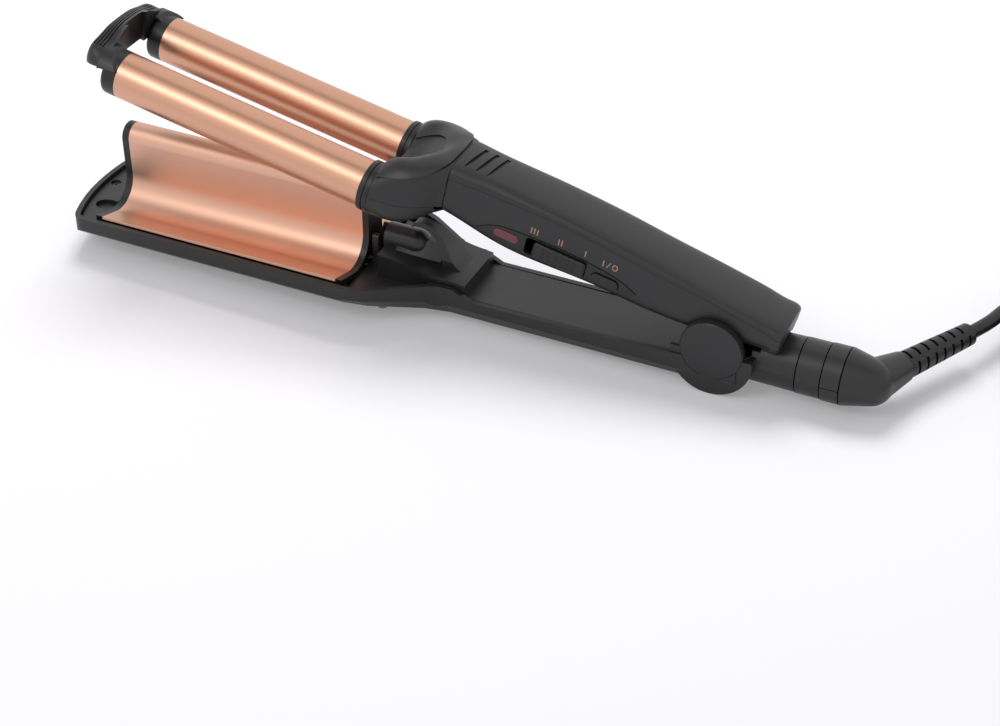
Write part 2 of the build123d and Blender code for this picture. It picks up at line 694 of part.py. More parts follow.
def elbow_frame():
    a = math.radians(ELBOW_ANGLE)
    return Plane(
        origin=(ELBOW_TURN_X, 0, TAIL_AXIS_Z),
        x_dir=(0, 0, 1),
        z_dir=(math.cos(a), math.sin(a), 0),
    )


def along_cable(s0, s1, r0, r1):
    if r0 == r1:
        return elbow_frame() * (Pos(0, 0, (s0 + s1) / 2) * Cylinder(r0, s1 - s0))
    return elbow_frame() * (Pos(0, 0, (s0 + s1) / 2) * Cone(r0, r1, s1 - s0))


def swivel_elbow():
    start_r = HOUSING_D / 2 + 0.1
    r = ELBOW_BALL_R
    x = ELBOW_TURN_X
    slope = math.radians(80)
    outline = make_face([
        Line((ELBOW_START_X, 0), (ELBOW_START_X, start_r)),
        Line((ELBOW_START_X, start_r), (x + r * math.cos(slope), r * math.sin(slope))),
        ThreePointArc((x + r * math.cos(slope), r * math.sin(slope)),
                      (x + r * math.cos(slope / 2), r * math.sin(slope / 2)), (x + r, 0)),
        Line((x + r, 0), (ELBOW_START_X, 0)),
    ])
    turned = revolve(outline, Axis.X)
    boss = along_cable(3.0, BOSS_REACH, ELBOW_BALL_R - 0.7, RELIEF_D / 2 + BOSS_WALL)
    elbow = Pos(0, 0, TAIL_AXIS_Z) * turned + boss
    elbow = elbow - along_cable(4.0, BOSS_REACH + 1, RELIEF_D / 2, RELIEF_D / 2)
    hollow = cyl_x(ELBOW_START_X - 1, ELBOW_TURN_X, 0, TAIL_AXIS_Z, SPINDLE_R - 2.5)
    socket = cyl_x(ELBOW_START_X - 1, ELBOW_START_X + 0.5, 0, TAIL_AXIS_Z, SPINDLE_R)
    return elbow - hollow - socket


def strain_relief():
    r0 = RELIEF_D / 2
    r1 = RELIEF_END_D / 2
    body = along_cable(4.0, BOSS_REACH, r0, r0)
    taper = along_cable(BOSS_REACH, RELIEF_REACH, r0, r1)
    relief = body + taper
    free = (RELIEF_REACH - BOSS_REACH) / (RELIEF_SLOTS + 0.6)
    wide = r0 + 2
    for i in range(RELIEF_SLOTS):
        s = BOSS_REACH + free * (i + 0.9)
        r = lerp(r0, r1, (s - BOSS_REACH) / (RELIEF_REACH - BOSS_REACH))
        groove = along_cable(s - 0.7, s + 0.7, wide, wide) - along_cable(s - 1, s + 1, r - 1.5, r - 1.5)
        flank = Box(1.25 * r, 40, 4)
        relief = relief - (groove & (elbow_frame() * (Pos(0, 0, s) * flank)))
        s = s - free / 2
        r = lerp(r0, r1, (s - BOSS_REACH) / (RELIEF_REACH - BOSS_REACH))
        groove = along_cable(s - 0.7, s + 0.7, wide, wide) - along_cable(s - 1, s + 1, r - 1.5, r - 1.5)
        flank = Box(40, 1.0 * r, 4)
        relief = relief - (groove & (elbow_frame() * (Pos(0, 0, s) * flank)))
    return relief


# ---------------------------------------------------------------------------
# Cord, its coil on the table and the plug
# ---------------------------------------------------------------------------
CORD_Z = TABLE_Z + CORD_R
COIL_X = 152.0
COIL_Y = 88.0
COIL_TURN_R = 34.7
COIL_WIDTH = 19.4
COIL_HEIGHT = 19.4
COIL_ENTRY = math.radians(150.0)
PLUG_X = 193.5
PLUG_BOOT_Y = 38.0
PLUG_LENGTH = 34.0
PLUG_WIDTH = 28.0
PLUG_HEIGHT = 14.0
PLUG_BOOT = 20.0
PIN_SPACING = 18.6
PLUG_PIN_D = 4.0
PLUG_PIN_LENGTH = 19.0
PLUG_Z = TABLE_Z + PLUG_HEIGHT / 2
COIL_TOP_Z = TABLE_Z + COIL_HEIGHT - CORD_R
COIL_OUTER_X = COIL_X + COIL_TURN_R + CORD_D

CORD_POINTS = (
    (102.63, 64.29, -7.5),
    (106.6, 78.0, -7.0),
    (113.8, 91.0, COIL_TOP_Z),
    (
        COIL_X + COIL_TURN_R * math.cos(COIL_ENTRY),
        COIL_Y + COIL_TURN_R * math.sin(COIL_ENTRY),
        COIL_TOP_Z,
    ),
)
TAIL_POINTS = (
    (COIL_OUTER_X, COIL_Y - 5.0, CORD_Z),
    (COIL_OUTER_X + 0.4, COIL_Y - 20.0, CORD_Z),
    (PLUG_X, COIL_Y - 34.0, PLUG_Z),
    (PLUG_X, PLUG_BOOT_Y, PLUG_Z),
)


def corner_radii(points):
    radii = []
    for before, here, after in zip(points, points[1:], points[2:]):
        come = here - before
        go = after - here
        turn = math.radians(come.get_angle(go))
        radii.append(0.45 * min(come.length, go.length) / math.tan(turn / 2))
    return radii


def cord_run(label, points):
    radii = corner_radii(points)
    path = FilletPolyline(*points, radius=radii)
    first = path.edges()[0]
    section = Plane(first @ 0, z_dir=first % 0) * Circle(CORD_R)
    solid = sweep(section, path)
    product = math.pi * CORD_R**2 * path.length
    print(label, "radii", [round(r, 1) for r in radii])
    print(label, "volume", round(solid.volume, 1), "section x length", round(product, 1))
    return solid.solid()


def cord():
    exit_point = elbow_frame().from_local_coords(Vector(0, 0, RELIEF_REACH))
    lead = cord_run("lead", [exit_point] + [Vector(*p) for p in CORD_POINTS])
    tail = cord_run("tail", [Vector(*p) for p in TAIL_POINTS])
    return Compound(children=[lead, tail])


def cord_coil():
    z = TABLE_Z + COIL_HEIGHT / 2
    section = Plane.XZ * (Pos(COIL_TURN_R, 0) * RectangleRounded(COIL_WIDTH, COIL_HEIGHT, 6))
    return Pos(COIL_X, COIL_Y, z) * revolve(section, Axis.Z)


def plug_body():
    x = PLUG_X
    body_y = PLUG_BOOT_Y - PLUG_BOOT
    boot = Pos(x, (PLUG_BOOT_Y + body_y) / 2, PLUG_Z) * Rot(-90, 0, 0) * Cone(6.2, 4.4, PLUG_BOOT)
    front_y = body_y - PLUG_LENGTH
    half = PLUG_WIDTH / 2
    outline = make_face(Polyline(
        (x - half, front_y), (x + half, front_y), (x + half, front_y + 14),
        (x + 7, body_y), (x - 7, body_y), (x - half, front_y + 14), close=True,
    ))
    block = Pos(0, 0, TABLE_Z) * extrude(outline, PLUG_HEIGHT)
    block = fillet(block.edges().filter_by(Axis.Z), 3.0)
    block = fillet(block.faces().sort_by(Axis.Z)[-1].edges(), 2.2)
    return block + boot


def plug_pins():
    z = PLUG_Z
    front_y = PLUG_BOOT_Y - PLUG_BOOT - PLUG_LENGTH
    pins = []
    for side in (-1, 1):
        px = PLUG_X + side * PIN_SPACING / 2
        pin = cyl_y(px, z, front_y - PLUG_PIN_LENGTH + 2, front_y, PLUG_PIN_D / 2)
        tip = Pos(px, front_y - PLUG_PIN_LENGTH + 2, z) * Sphere(PLUG_PIN_D / 2)
        pins.append((pin + tip).solid())
    return Compound(children=pins)


# ---------------------------------------------------------------------------
# Upper arm, drawn closed: handle
# ---------------------------------------------------------------------------
SEAM_LINE = (
    (-137, 26.1), (-107, 26.2), (-94, 26.8), (-78, 26.5), (-58.5, 25.4),
    (-39, 23.3), (-22, 22.1), (-10, 21.6), (9, 19.5), (28, 16.4),
)
CREST_LINE = ((-137, 32.6), (-118, 32.5), (-97, 31.8), (-75, 30.7), (-50, 29.0), (-30, 27.2), (-8, 24.9), (28, 21.3))
UNDER_LINE = (
    (-137, 5.6), (-125, 3.4), (-114, 0.9), (-103, -0.5), (-90, -0.6), (-75, 0.2), (-60, 0.8), (-45, 0.4),
    (-26, 0.7), (-8, 2.4), (9, 5.2), (28, 7.4),
)
WIDTH_LINE = ((-137, 15.2), (-125, 14.6), (-110, 14.0), (28, 14.0))
HANDLE_STATIONS = (-137, -126, -112, -98, -84, -70, -56, -42, -28, -14, 0, 12, 21, 25.6)


def handle_points(x, grow, shrink=1.0):
    seam = curve_at(SEAM_LINE, x)
    top = curve_at(CREST_LINE, x)
    low = curve_at(UNDER_LINE, x)
    w = curve_at(WIDTH_LINE, x) * HANDLE_HALF_WIDTH / 14.0
    side = 0.5 * (low + seam)
    shape = (
        (0.0, low - 0.3), (0.50 * w, low - 0.1), (0.82 * w, low + 1.4), (0.965 * w, low + 4.6),
        (w, side), (w, seam - 1.5), (0.965 * w, lerp(seam, top, 0.42)),
        (0.80 * w, lerp(seam, top, 0.74)), (0.45 * w, lerp(seam, top, 0.94)), (0.0, top),
    )
    mid = 0.5 * (low + top)
    moved = []
    for i, (y, z) in enumerate(shape):
        before = shape[i - 1] if i > 0 else (-shape[1][0], shape[1][1])
        after = shape[i + 1] if i + 1 < len(shape) else (-shape[i - 1][0], shape[i - 1][1])
        dy = after[0] - before[0]
        dz = after[1] - before[1]
        size = math.hypot(dy, dz)
        ny = dz / size
        nz = -dy / size
        moved.append(((y + grow * ny) * shrink, mid + (z + grow * nz - mid) * shrink))
    other = [(-y, z) for y, z in reversed(moved[1:-1])]
    return moved + other


def handle_solid(grow=0.0):
    faces = []
    for x in HANDLE_STATIONS:
        line = Spline(*handle_points(x, grow), periodic=True)
        faces.append(plane_x(x) * make_face(line))
    tail = ((HANDLE_REAR_X - 0.45, 0.955), (HANDLE_REAR_X, 0.86))
    for x, shrink in tail:
        line = Spline(*handle_points(x, grow, shrink), periodic=True)
        faces.append(plane_x(x + grow) * make_face(line))
    return loft(faces)


# ---------------------------------------------------------------------------
# Upper arm, drawn closed: yoke that carries the barrels
# ---------------------------------------------------------------------------
HEAD_SECTIONS = (
    (HEAD_FRONT_X, ((0, 2), (9.5, 1), (14, -2.8), (19.25, -4.2), (25.5, -2.4), (30.2, 3), (31.4, 9),
                    (29.6, 15), (26, 18.6), (21, 20.1), (15, 19), (10, 16), (0, 14))),
    (-157.0, ((0, 3), (9.5, 2), (14, -2), (19.5, -3.4), (25.5, -1.5), (29.2, 3), (29.8, 9.5),
              (28.4, 16), (26.3, 21.2), (21.5, 25.6), (17.5, 26.8), (10, 21), (0, 18.3))),
    (-148.0, ((0, 4), (9.5, 3), (13.5, 0), (18.5, -1.2), (23.2, 0.5), (26, 4.5), (26.4, 10),
              (25.4, 17.5), (24, 24.5), (18.5, 28.2), (12, 29.2), (6, 27.5), (0, 26))),
    (-141.0, ((0, 5), (9, 4.2), (12.5, 3), (15.5, 2.8), (18.3, 4.2), (20.2, 7.5), (20.8, 12),
              (20.6, 19), (19.4, 27.2), (14, 30.4), (8.5, 31.2), (4, 31.2), (0, 31))),
    (HANDLE_FRONT_X, ((0, 5.6), (7, 5.6), (10, 5.8), (12.6, 6.8), (14.4, 8.6), (15.6, 11), (16, 14.5),
                      (16, 20.5), (14.6, 29.8), (11.5, 31), (7.5, 32.2), (3.5, 32.6), (0, 32.6))),
)


def outward(points, grow):
    """Half outline from bottom to top, moved along its normals and mirrored."""
    moved = []
    for i, (y, z) in enumerate(points):
        before = points[i - 1] if i > 0 else (-points[1][0], points[1][1])
        after = points[i + 1] if i + 1 < len(points) else (-points[i - 1][0], points[i - 1][1])
        dy = after[0] - before[0]
        dz = after[1] - before[1]
        size = math.hypot(dy, dz)
        moved.append((y + grow * dz / size, z - grow * dy / size))
    other = [(-y, z) for y, z in reversed(moved[1:-1])]
    return moved + other


def head_solid(grow=0.0, front=0.0, rear=0.0):
    faces = []
    last = len(HEAD_SECTIONS) - 1
    for i, (x, points) in enumerate(HEAD_SECTIONS):
        if i == 0:
            x = x + front
        if i == last:
            x = x + rear
        line = Spline(*outward(points, grow), periodic=True)
        faces.append(plane_x(x) * make_face(line))
    return loft(faces)


GUIDE_GAP = 1.3
BUMP_R = 6.3
BUMP_TOP_Z = 11.5
BUMP_FRONT_X = -165.0
SPINE_TOP_Z = 17.8
SPINE_FOOT_X = -120.5
SPINE_POCKET_X = -125.5
CORE_FRONT_X = -158.0
CORE_REAR_X = -136.0
CORE_HALF_WIDTH = 11.0


def plateau_pocket(grow=0.0):
    """Room under the yoke for the sloped plateau when the arms close."""
    w = PLATEAU_HALF_WIDTH + 0.2 + grow
    return box(PLATEAU_FRONT_X - 1.5 - grow, -136 + grow, -w, w, -20, 5.6 + grow)


def guide_pocket(grow=0.0):
    """Room in the yoke for the guide behind the plate when the arms close."""
    g = GUIDE_GAP + grow
    front = BUMP_FRONT_X - 3.0 - grow
    low = box(front, -152, -BUMP_R - g, BUMP_R + g, -20, BUMP_TOP_Z + 0.9 + grow)
    high = box(-153.5 - grow, SPINE_POCKET_X + grow, -7.2 - g, 7.2 + g, -20, SPINE_TOP_Z + 1.7 + grow)
    side = box(CORE_FRONT_X - 4 - grow, CORE_REAR_X + 1.5 + grow, -CORE_HALF_WIDTH - g, CORE_HALF_WIDTH + g,
               -20, 8.0 + grow)
    return low + high + side + plateau_pocket(grow)


def spigot_bores(length):
    bores = Part()
    for y in (-BARREL_Y, BARREL_Y):
        bores = bores + cyl_x(HEAD_FRONT_X - 5, HEAD_FRONT_X + length, y, BARREL_AXIS_Z, SPIGOT_R + 0.02)
    return bores


def head_top():
    above = box(-200, -100, -60, 60, HEAD_SPLIT_Z, 60)
    shell = (head_solid() & above) - head_solid(-HEAD_WALL, HEAD_WALL, 3.0)
    return shell - guide_pocket() - spigot_bores(HEAD_WALL + 3)


def head_bottom():
    """Lower half of the yoke, with the walls of the guide pocket standing up from it."""
    below = box(-200, -100, -60, 60, -60, HEAD_SPLIT_Z - SEAM_GAP)
    hollow = guide_pocket()
    body = (head_solid() & below) - hollow - spigot_bores(HEAD_WALL + 3)
    for side in (-1, 1):
        body = body - cyl_x(HEAD_FRONT_X, -151.0, side * BARREL_Y, BARREL_AXIS_Z, SPIGOT_R - 1.4)
        body = body - cyl_x(-152.0, -100, side * 15.0, HEAD_SPLIT_Z + 1.0, 3.2)
    above = box(-200, -100, -60, 60, HEAD_SPLIT_Z - SEAM_GAP - 0.5, 60)
    room = head_solid(-HEAD_WALL - 0.1, HEAD_WALL + 0.1, -0.2) & above
    return body + ((room & guide_pocket(HEAD_WALL)) - hollow - spigot_bores(HEAD_WALL + 3))


# ---------------------------------------------------------------------------
# Upper arm, drawn closed: barrels and tip
# ---------------------------------------------------------------------------
BARREL_INNER_R = BARREL_R - BARREL_WALL
SPIGOT_R = BARREL_INNER_R - 0.02
SPIGOT_LENGTH = 6.0


def barrel(y):
    tube_body = ring_x(BARREL_FRONT_X, BARREL_REAR_X, y, BARREL_AXIS_Z, BARREL_R, BARREL_INNER_R)
    return tube_body


def barrel_collar(y):
    z = BARREL_AXIS_Z
    ring = cyl_x(BARREL_REAR_X, HEAD_FRONT_X, y, z, COLLAR_D / 2)
    ring = chamfer(ring.edges().filter_by(GeomType.CIRCLE), 0.4)
    mid = (BARREL_REAR_X + HEAD_FRONT_X) / 2
    ring = ring - ring_x(mid - 0.3, mid + 0.3, y, z, COLLAR_D, COLLAR_D / 2 - 0.6)
    ring = ring + cyl_x(BARREL_REAR_X - SPIGOT_LENGTH, BARREL_REAR_X + 1, y, z, SPIGOT_R)
    ring = ring + cyl_x(HEAD_FRONT_X - 1, HEAD_FRONT_X + HEAD_WALL + 2, y, z, SPIGOT_R)
    return ring - cyl_x(BARREL_REAR_X - 20, HEAD_FRONT_X + 20, y, z, SPIGOT_R - 2.2) - plateau_pocket()


def tip_cap(y):
    z = BARREL_AXIS_Z
    front = BARREL_FRONT_X - TIP_CAP_LENGTH
    cap = cyl_x(front, BARREL_FRONT_X, y, z, BARREL_R)
    edge = cap.edges().filter_by(GeomType.CIRCLE).sort_by(Axis.X)[0]
    cap = fillet(edge, 2.2)
    spigot = ring_x(BARREL_FRONT_X - 0.5, BARREL_FRONT_X + 4, y, z, SPIGOT_R, SPIGOT_R - 1.6)
    return cap + spigot


HEATER_THICKNESS = 3.0
HEATER_WIDTH = 11.0


def heat_spreaders():
    pieces = []
    x0 = BARREL_FRONT_X + 12
    x1 = BARREL_REAR_X - 14
    z = BARREL_AXIS_Z
    half = HEATER_THICKNESS / 2
    for y in (-BARREL_Y, BARREL_Y):
        rod = cyl_x(x0, x1, y, z, SPIGOT_R)
        pieces.append((rod & box(x0, x1, y - 20, y + 20, z + half, z + 20)).solid())
        pieces.append((rod & box(x0, x1, y - 20, y + 20, z - 20, z - half)).solid())
    return Compound(children=pieces)


def barrel_heaters():
    bars = []
    x0 = BARREL_FRONT_X + 16
    x1 = BARREL_REAR_X - 18
    half = HEATER_THICKNESS / 2
    for y in (-BARREL_Y, BARREL_Y):
        bars.append(box(x0, x1, y - HEATER_WIDTH / 2, y + HEATER_WIDTH / 2,
                        BARREL_AXIS_Z - half, BARREL_AXIS_Z + half).solid())
    return Compound(children=bars)


BRIDGE_FRONT_X = -315.2
BRIDGE_WALL_FRONT_X = -308.9
RIDGE_NOTCH_X = -307.1
RIDGE_NOTCH_HALF_WIDTH = 7.4
BRIDGE_WALL_Z = 10.0
BRIDGE_T = 2.0
BRIDGE_RIBS = 4
BRIDGE_FRONT_ARCH = ((24.6, 9.0), (24.9, 15.0), (22.8, 18.2), (17.0, 20.2), (9.0, 22.2), (0.0, 22.7))
BRIDGE_REAR_ARCH = ((29.9, 9.0), (29.0, 15.6), (25.4, 18.8), (18.6, 21.0), (10.4, 25.3), (0.0, 26.8))
FLAP_R = 12.5


def bridge_arch(x, s, inset=0.0, low=9.0):
    """Closed outline of the bridge across the arm, from its front arch at 0 to its rear arch at 1."""
    half = []
    for (y0, z0), (y1, z1) in zip(BRIDGE_FRONT_ARCH, BRIDGE_REAR_ARCH):
        y = lerp(y0, y1, s)
        z = lerp(z0, z1, s)
        half.append((y * (1 - inset / 27.0), max(z - inset, low)))
    half[0] = (half[0][0], low)
    over = Spline(*(half + [(-y, z) for y, z in reversed(half[:-1])]))
    return plane_x(x) * make_face([over, Line((-half[0][0], low), (half[0][0], low))])


def bridge_body(inset=0.0, low=9.0):
    rear = BARREL_FRONT_X - TIP_CAP_LENGTH - 0.1
    front = BRIDGE_FRONT_X + 0.4
    mid = 0.5 * (front + rear)
    nose = bridge_arch(BRIDGE_FRONT_X, 0.0, inset + 0.5, low)
    return loft([nose, bridge_arch(front, 0.0, inset, low), bridge_arch(mid, 0.56, inset, low),
                 bridge_arch(rear, 1.0, inset, low)])


def tip_bridge():
    rear = BARREL_FRONT_X - TIP_CAP_LENGTH - 0.1
    outer = bridge_body()
    grooves = outer - bridge_body(0.55, 0.0)
    cuts = Part()
    for i in range(BRIDGE_RIBS):
        x = BRIDGE_FRONT_X + 1.3 + 1.5 * i
        cuts = cuts + box(x, x + 0.7, -22, 22, 15, 40)
    hollow = bridge_body(BRIDGE_T, 0.0) & box(BRIDGE_FRONT_X + BRIDGE_T, BRIDGE_WALL_FRONT_X, -60, 60, -10, 60)
    under = prism_y([(-320, 0), (-320, 10.4), (BRIDGE_FRONT_X, 10.8), (rear, 14.0), (BARREL_FRONT_X, 15.0),
                     (-290, 15.0), (-290, 0)], -60, 60)
    side_cut = under & both_sides(box(-320, -290, 13.0, 60, -10, 40))
    mid_cut = under & box(-320, BRIDGE_WALL_FRONT_X, -13.0, 13.0, -10, 40)
    bridge = outer - (grooves & cuts) - hollow - side_cut - mid_cut
    bridge = bridge - box(-320, -290, -60, 60, -10, BRIDGE_WALL_Z)
    bridge = bridge - box(RIDGE_NOTCH_X, -290, -RIDGE_NOTCH_HALF_WIDTH, RIDGE_NOTCH_HALF_WIDTH, -10, 60)
    for side in (-1, 1):
        y = side * BARREL_Y
        flap = ring_x(rear - 1.5, BARREL_FRONT_X - 0.3, y, BARREL_AXIS_Z, FLAP_R, BARREL_R + 0.02)
        reach = prism_y([(rear - 2, 10), (-290, 10), (BARREL_FRONT_X, 14.8), (rear + 0.6, 21.5), (rear - 2, 21.5)],
                        min(0, side * 60), max(0, side * 60))
        bridge = bridge + ((flap & reach) - under - box(rear - 0.01, -290, -15, 15, 0, 40))
    return bridge


# ---------------------------------------------------------------------------
# Upper arm, drawn closed: handle shells
# ---------------------------------------------------------------------------


def seam_slab(z_shift, upper):
    xs = (-140, -122, -107, -94, -78, -58.5, -39, -22, -10, 9, 28)
    line = [(x, curve_at(SEAM_LINE, x) + z_shift) for x in xs]
    line = line + [(40, line[-1][1] - 2.4)]
    far_z = 70 if upper else -70
    return prism_y(line + [(40, far_z), (-140, far_z)], -40, 40)


def opened(shape):
    """A shape of the lower arm as the upper arm sees it when the arms are open."""
    return Rot(0, -OPEN_ANGLE, 0) * shape


HANDLE_SCREW_X = (-119.0, -27.0)
HANDLE_SCREW_SEAT_Z = 10.0


def handle_top():
    shell = (handle_solid() - handle_solid(-HANDLE_WALL)) & seam_slab(SEAM_GAP / 2, True)
    for x in HANDLE_SCREW_X:
        shell = shell + (cyl_z(x, 0, HANDLE_SCREW_SEAT_Z + 3, 40, BOSS_R) & handle_solid(-HANDLE_WALL / 2))
        shell = shell - cyl_z(x, 0, HANDLE_SCREW_SEAT_Z, HANDLE_SCREW_SEAT_Z + 11, SCREW_R)
    shell = shell & box(HANDLE_FRONT_X + SEAM_GAP, 60, -40, 40, -60, 60)
    for i in range(3):
        cut = Pos(-128.6 + 5.5 * i, -1.2, 34.0) * Rot(0, 0, -9) * Box(1.8, 17.0, 5.4)
        shell = shell - cut
    return shell


def handle_bottom():
    inner = handle_solid(-HANDLE_WALL)
    outer = handle_solid()
    shell = (outer - inner) & seam_slab(-SEAM_GAP / 2, False)
    knuckle = cyl_y(0, 0, -KNUCKLE_Y, KNUCKLE_Y, KNUCKLE_R)
    web = box(-KNUCKLE_R, KNUCKLE_R, -KNUCKLE_Y, KNUCKLE_Y, 0, 20) & inner
    shell = shell + knuckle + (web & seam_slab(-SEAM_GAP / 2 - 2, False))
    chamber = cyl_y(0, 0, -CHEEK_Y, CHEEK_Y, SPRING_D / 2 + SPRING_WIRE_D + 1.4)
    slot = box(-SPRING_D, SPRING_D / 2 + 4.2, -CHEEK_Y, CHEEK_Y, -20, KNUCKLE_R + 20)
    shell = shell - chamber - slot
    shell = shell - cyl_y(0, 0, -30, 30, BUSH_R + 0.02)
    for x in HANDLE_SCREW_X:
        shell = shell + (cyl_z(x, 0, -5, HANDLE_SCREW_SEAT_Z + 3, BOSS_R) & handle_solid(-HANDLE_WALL / 2))
        shell = shell - cyl_z(x, 0, -5, HANDLE_SCREW_SEAT_Z, SCREW_HEAD_R + 0.1)
        shell = shell - cyl_z(x, 0, -5, HANDLE_SCREW_SEAT_Z + 4, SCREW_R + 0.15)
    for x in (BOARD_FRONT_X + 4, BOARD_REAR_X - 4):
        arm = box(x - 2, x + 2, BOARD_Y + BOARD_THICKNESS, 30, 9, 13)
        shell = shell + (arm & handle_solid(-HANDLE_WALL / 2))
    tail_room = opened(cyl_x(-10, 80, 0, TAIL_AXIS_Z, TAIL_R + 0.8))
    lugs = cyl_y(0, 0, LUG_INNER_Y - CLEARANCE, 40, LUG_R + CLEARANCE)
    shell = shell - (tail_room & box(9, 60, -40, 40, -60, 60)) - both_sides(lugs)
    shell = shell - guide_pocket()
    shell = shell & box(HANDLE_FRONT_X + SEAM_GAP, 60, -40, 40, -60, 60)
    return shell - panel_recess() - side_openings()


def panel_outline(grow=0.0):
    """Leaf-shaped outline of the control panel on the near side."""
    x0 = PANEL_FRONT_X - grow
    x1 = PANEL_REAR_X + grow
    g = grow
    top = Spline((x0, 6.8), (-110, 11.8 + g), (-96, 14.0 + g), (-78, 14.6 + g), (-60, 13.8 + g), (-48, 12.0 + g), (x1, 8.6))
    low = Spline((x1, 8.6), (-48, 4.6 - g), (-62, 3.9 - g), (-80, 4.0 - g), (-96, 4.2 - g), (-109, 4.7 - g), (x0, 6.8))
    return face_prism_y([top, low], -30, -5)


def panel_recess():
    return (panel_outline(0.15) - handle_solid(-PANEL_THICKNESS)) & box(-130, -30, -30, 0, -10, 30)


def rounded_prism_y(x, z, length, height, r, y0, y1):
    side = Plane(origin=(x, y1, z), x_dir=(1, 0, 0), z_dir=(0, -1, 0))
    return extrude(side * RectangleRounded(length, height, r), y1 - y0)


def control_panel():
    skin = panel_outline() & handle_solid(0.35)
    panel = skin - handle_solid(-PANEL_THICKNESS)
    panel = panel & box(-130, -30, -30, 0, -10, 30)
    lens = rounded_prism_y(LENS_X, LENS_Z, LENS_LENGTH + 0.2, LENS_HEIGHT + 0.2, LENS_HEIGHT / 2, -30, -5)
    slot_length = SLIDER_LENGTH + SLIDER_TRAVEL + 2 * CLEARANCE
    slot_x = SLIDER_X - SLIDER_TRAVEL / 2
    slot = rounded_prism_y(slot_x, SLIDER_Z, slot_length, SLIDER_HEIGHT + 2 * CLEARANCE, 1.6, -30, -5)
    button = rounded_prism_y(BUTTON_X, BUTTON_Z, BUTTON_LENGTH + 2 * CLEARANCE, BUTTON_HEIGHT + 2 * CLEARANCE,
                             BUTTON_HEIGHT / 2 + CLEARANCE - 0.05, -30, -5)
    return panel - lens - slot - button


def side_openings():
    slot_length = SLIDER_LENGTH + SLIDER_TRAVEL + 2 * CLEARANCE
    slot_x = SLIDER_X - SLIDER_TRAVEL / 2
    lens = rounded_prism_y(LENS_X, LENS_Z, LENS_LENGTH - 1.2, LENS_HEIGHT - 1.2, 1.2, -30, -5)
    slot = rounded_prism_y(slot_x, SLIDER_Z, slot_length, SLIDER_HEIGHT + 2 * CLEARANCE, 1.6, -30, -5)
    button = rounded_prism_y(BUTTON_X, BUTTON_Z, BUTTON_LENGTH + 2 * CLEARANCE, BUTTON_HEIGHT + 2 * CLEARANCE,
                             BUTTON_HEIGHT / 2 + CLEARANCE - 0.05, -30, -5)
    return lens + slot + button


def pilot_lens():
    lens = rounded_prism_y(LENS_X, LENS_Z, LENS_LENGTH, LENS_HEIGHT, LENS_HEIGHT / 2 - 0.05, -30, -5)
    return (lens & handle_solid(0.55)) - handle_solid(-PANEL_THICKNESS)


def temperature_slider():
    pad = rounded_prism_y(SLIDER_X, SLIDER_Z, SLIDER_LENGTH, SLIDER_HEIGHT, 1.4, -30, -5)
    pad = (pad & handle_solid(1.5)) - box(-200, 0, SLIDER_BACK_Y, 40, -40, 60)
    grooves = Part()
    count = 6
    pitch = (SLIDER_LENGTH - 7.0) / count
    for i in range(count):
        x = SLIDER_X + (i - (count - 1) / 2) * pitch
        groove = Pos(x, -HANDLE_HALF_WIDTH - 1.7, SLIDER_Z) * Rot(0, 0, 45) * Box(1.3, 1.3, 30)
        grooves = grooves + groove
    stem = box(SLIDER_X - 2.0, SLIDER_X + 2.0, SLIDER_BACK_Y - 0.5, BOARD_Y - 5.2 + 1.2, SLIDER_Z - 1.2, SLIDER_Z + 1.2)
    return (pad - grooves) + stem


def power_button():
    key = rounded_prism_y(BUTTON_X, BUTTON_Z, BUTTON_LENGTH, BUTTON_HEIGHT, BUTTON_HEIGHT / 2 - 0.05, -30, -5)
    key = (key & handle_solid(1.1)) - box(-200, 0, SLIDER_BACK_Y - 1.0, 40, -40, 60)
    stem = cyl_y(BUTTON_X, BUTTON_Z, SLIDER_BACK_Y - 1.2, BOARD_Y - 5.0, 1.6)
    return key + stem


# ---------------------------------------------------------------------------
# Upper arm, drawn closed: electrics inside the handle
# ---------------------------------------------------------------------------


def handle_screws():
    screws = []
    z = HANDLE_SCREW_SEAT_Z
    for x in HANDLE_SCREW_X:
        shank = cyl_z(x, 0, z - 0.5, z + 10, SCREW_R - 0.02)
        top = cyl_z(x, 0, z - 1.6, z, SCREW_HEAD_R)
        slot_a = box(x - 1.3, x + 1.3, -0.25, 0.25, z - 2, z - 1.1)
        slot_b = box(x - 0.25, x + 0.25, -1.3, 1.3, z - 2, z - 1.1)
        screws.append((shank + top - slot_a - slot_b).solid())
    return Compound(children=screws)


def circuit_board():
    return box(BOARD_FRONT_X, BOARD_REAR_X, BOARD_Y, BOARD_Y + BOARD_THICKNESS, BOARD_LOW_Z, BOARD_LOW_Z + BOARD_HEIGHT)


def slide_switch():
    body = box(SLIDER_X - 9, SLIDER_X + 7, BOARD_Y - 5.2, BOARD_Y, SLIDER_Z - 3.4, SLIDER_Z + 3.4)
    x0 = SLIDER_X - 2.0 - SLIDER_TRAVEL - CLEARANCE
    x1 = SLIDER_X + 2.0 + CLEARANCE
    return body - box(x0, x1, BOARD_Y - 6, BOARD_Y - 3.6, SLIDER_Z - 1.5, SLIDER_Z + 1.5)


def push_switch():
    body = box(BUTTON_X - 3, BUTTON_X + 3, BOARD_Y - 3.0, BOARD_Y, BUTTON_Z - 3, BUTTON_Z + 3)
    return body + cyl_y(BUTTON_X, BUTTON_Z, BOARD_Y - 3.6, BOARD_Y - 2.5, 1.2)


def pilot_lamp():
    body = cyl_y(LENS_X, LENS_Z, BOARD_Y - 5.0, BOARD_Y, 1.5)
    flange = cyl_y(LENS_X, LENS_Z, BOARD_Y - 1.0, BOARD_Y, 1.9)
    return body + Pos(LENS_X, BOARD_Y - 5.0, LENS_Z) * Sphere(1.5) + flange


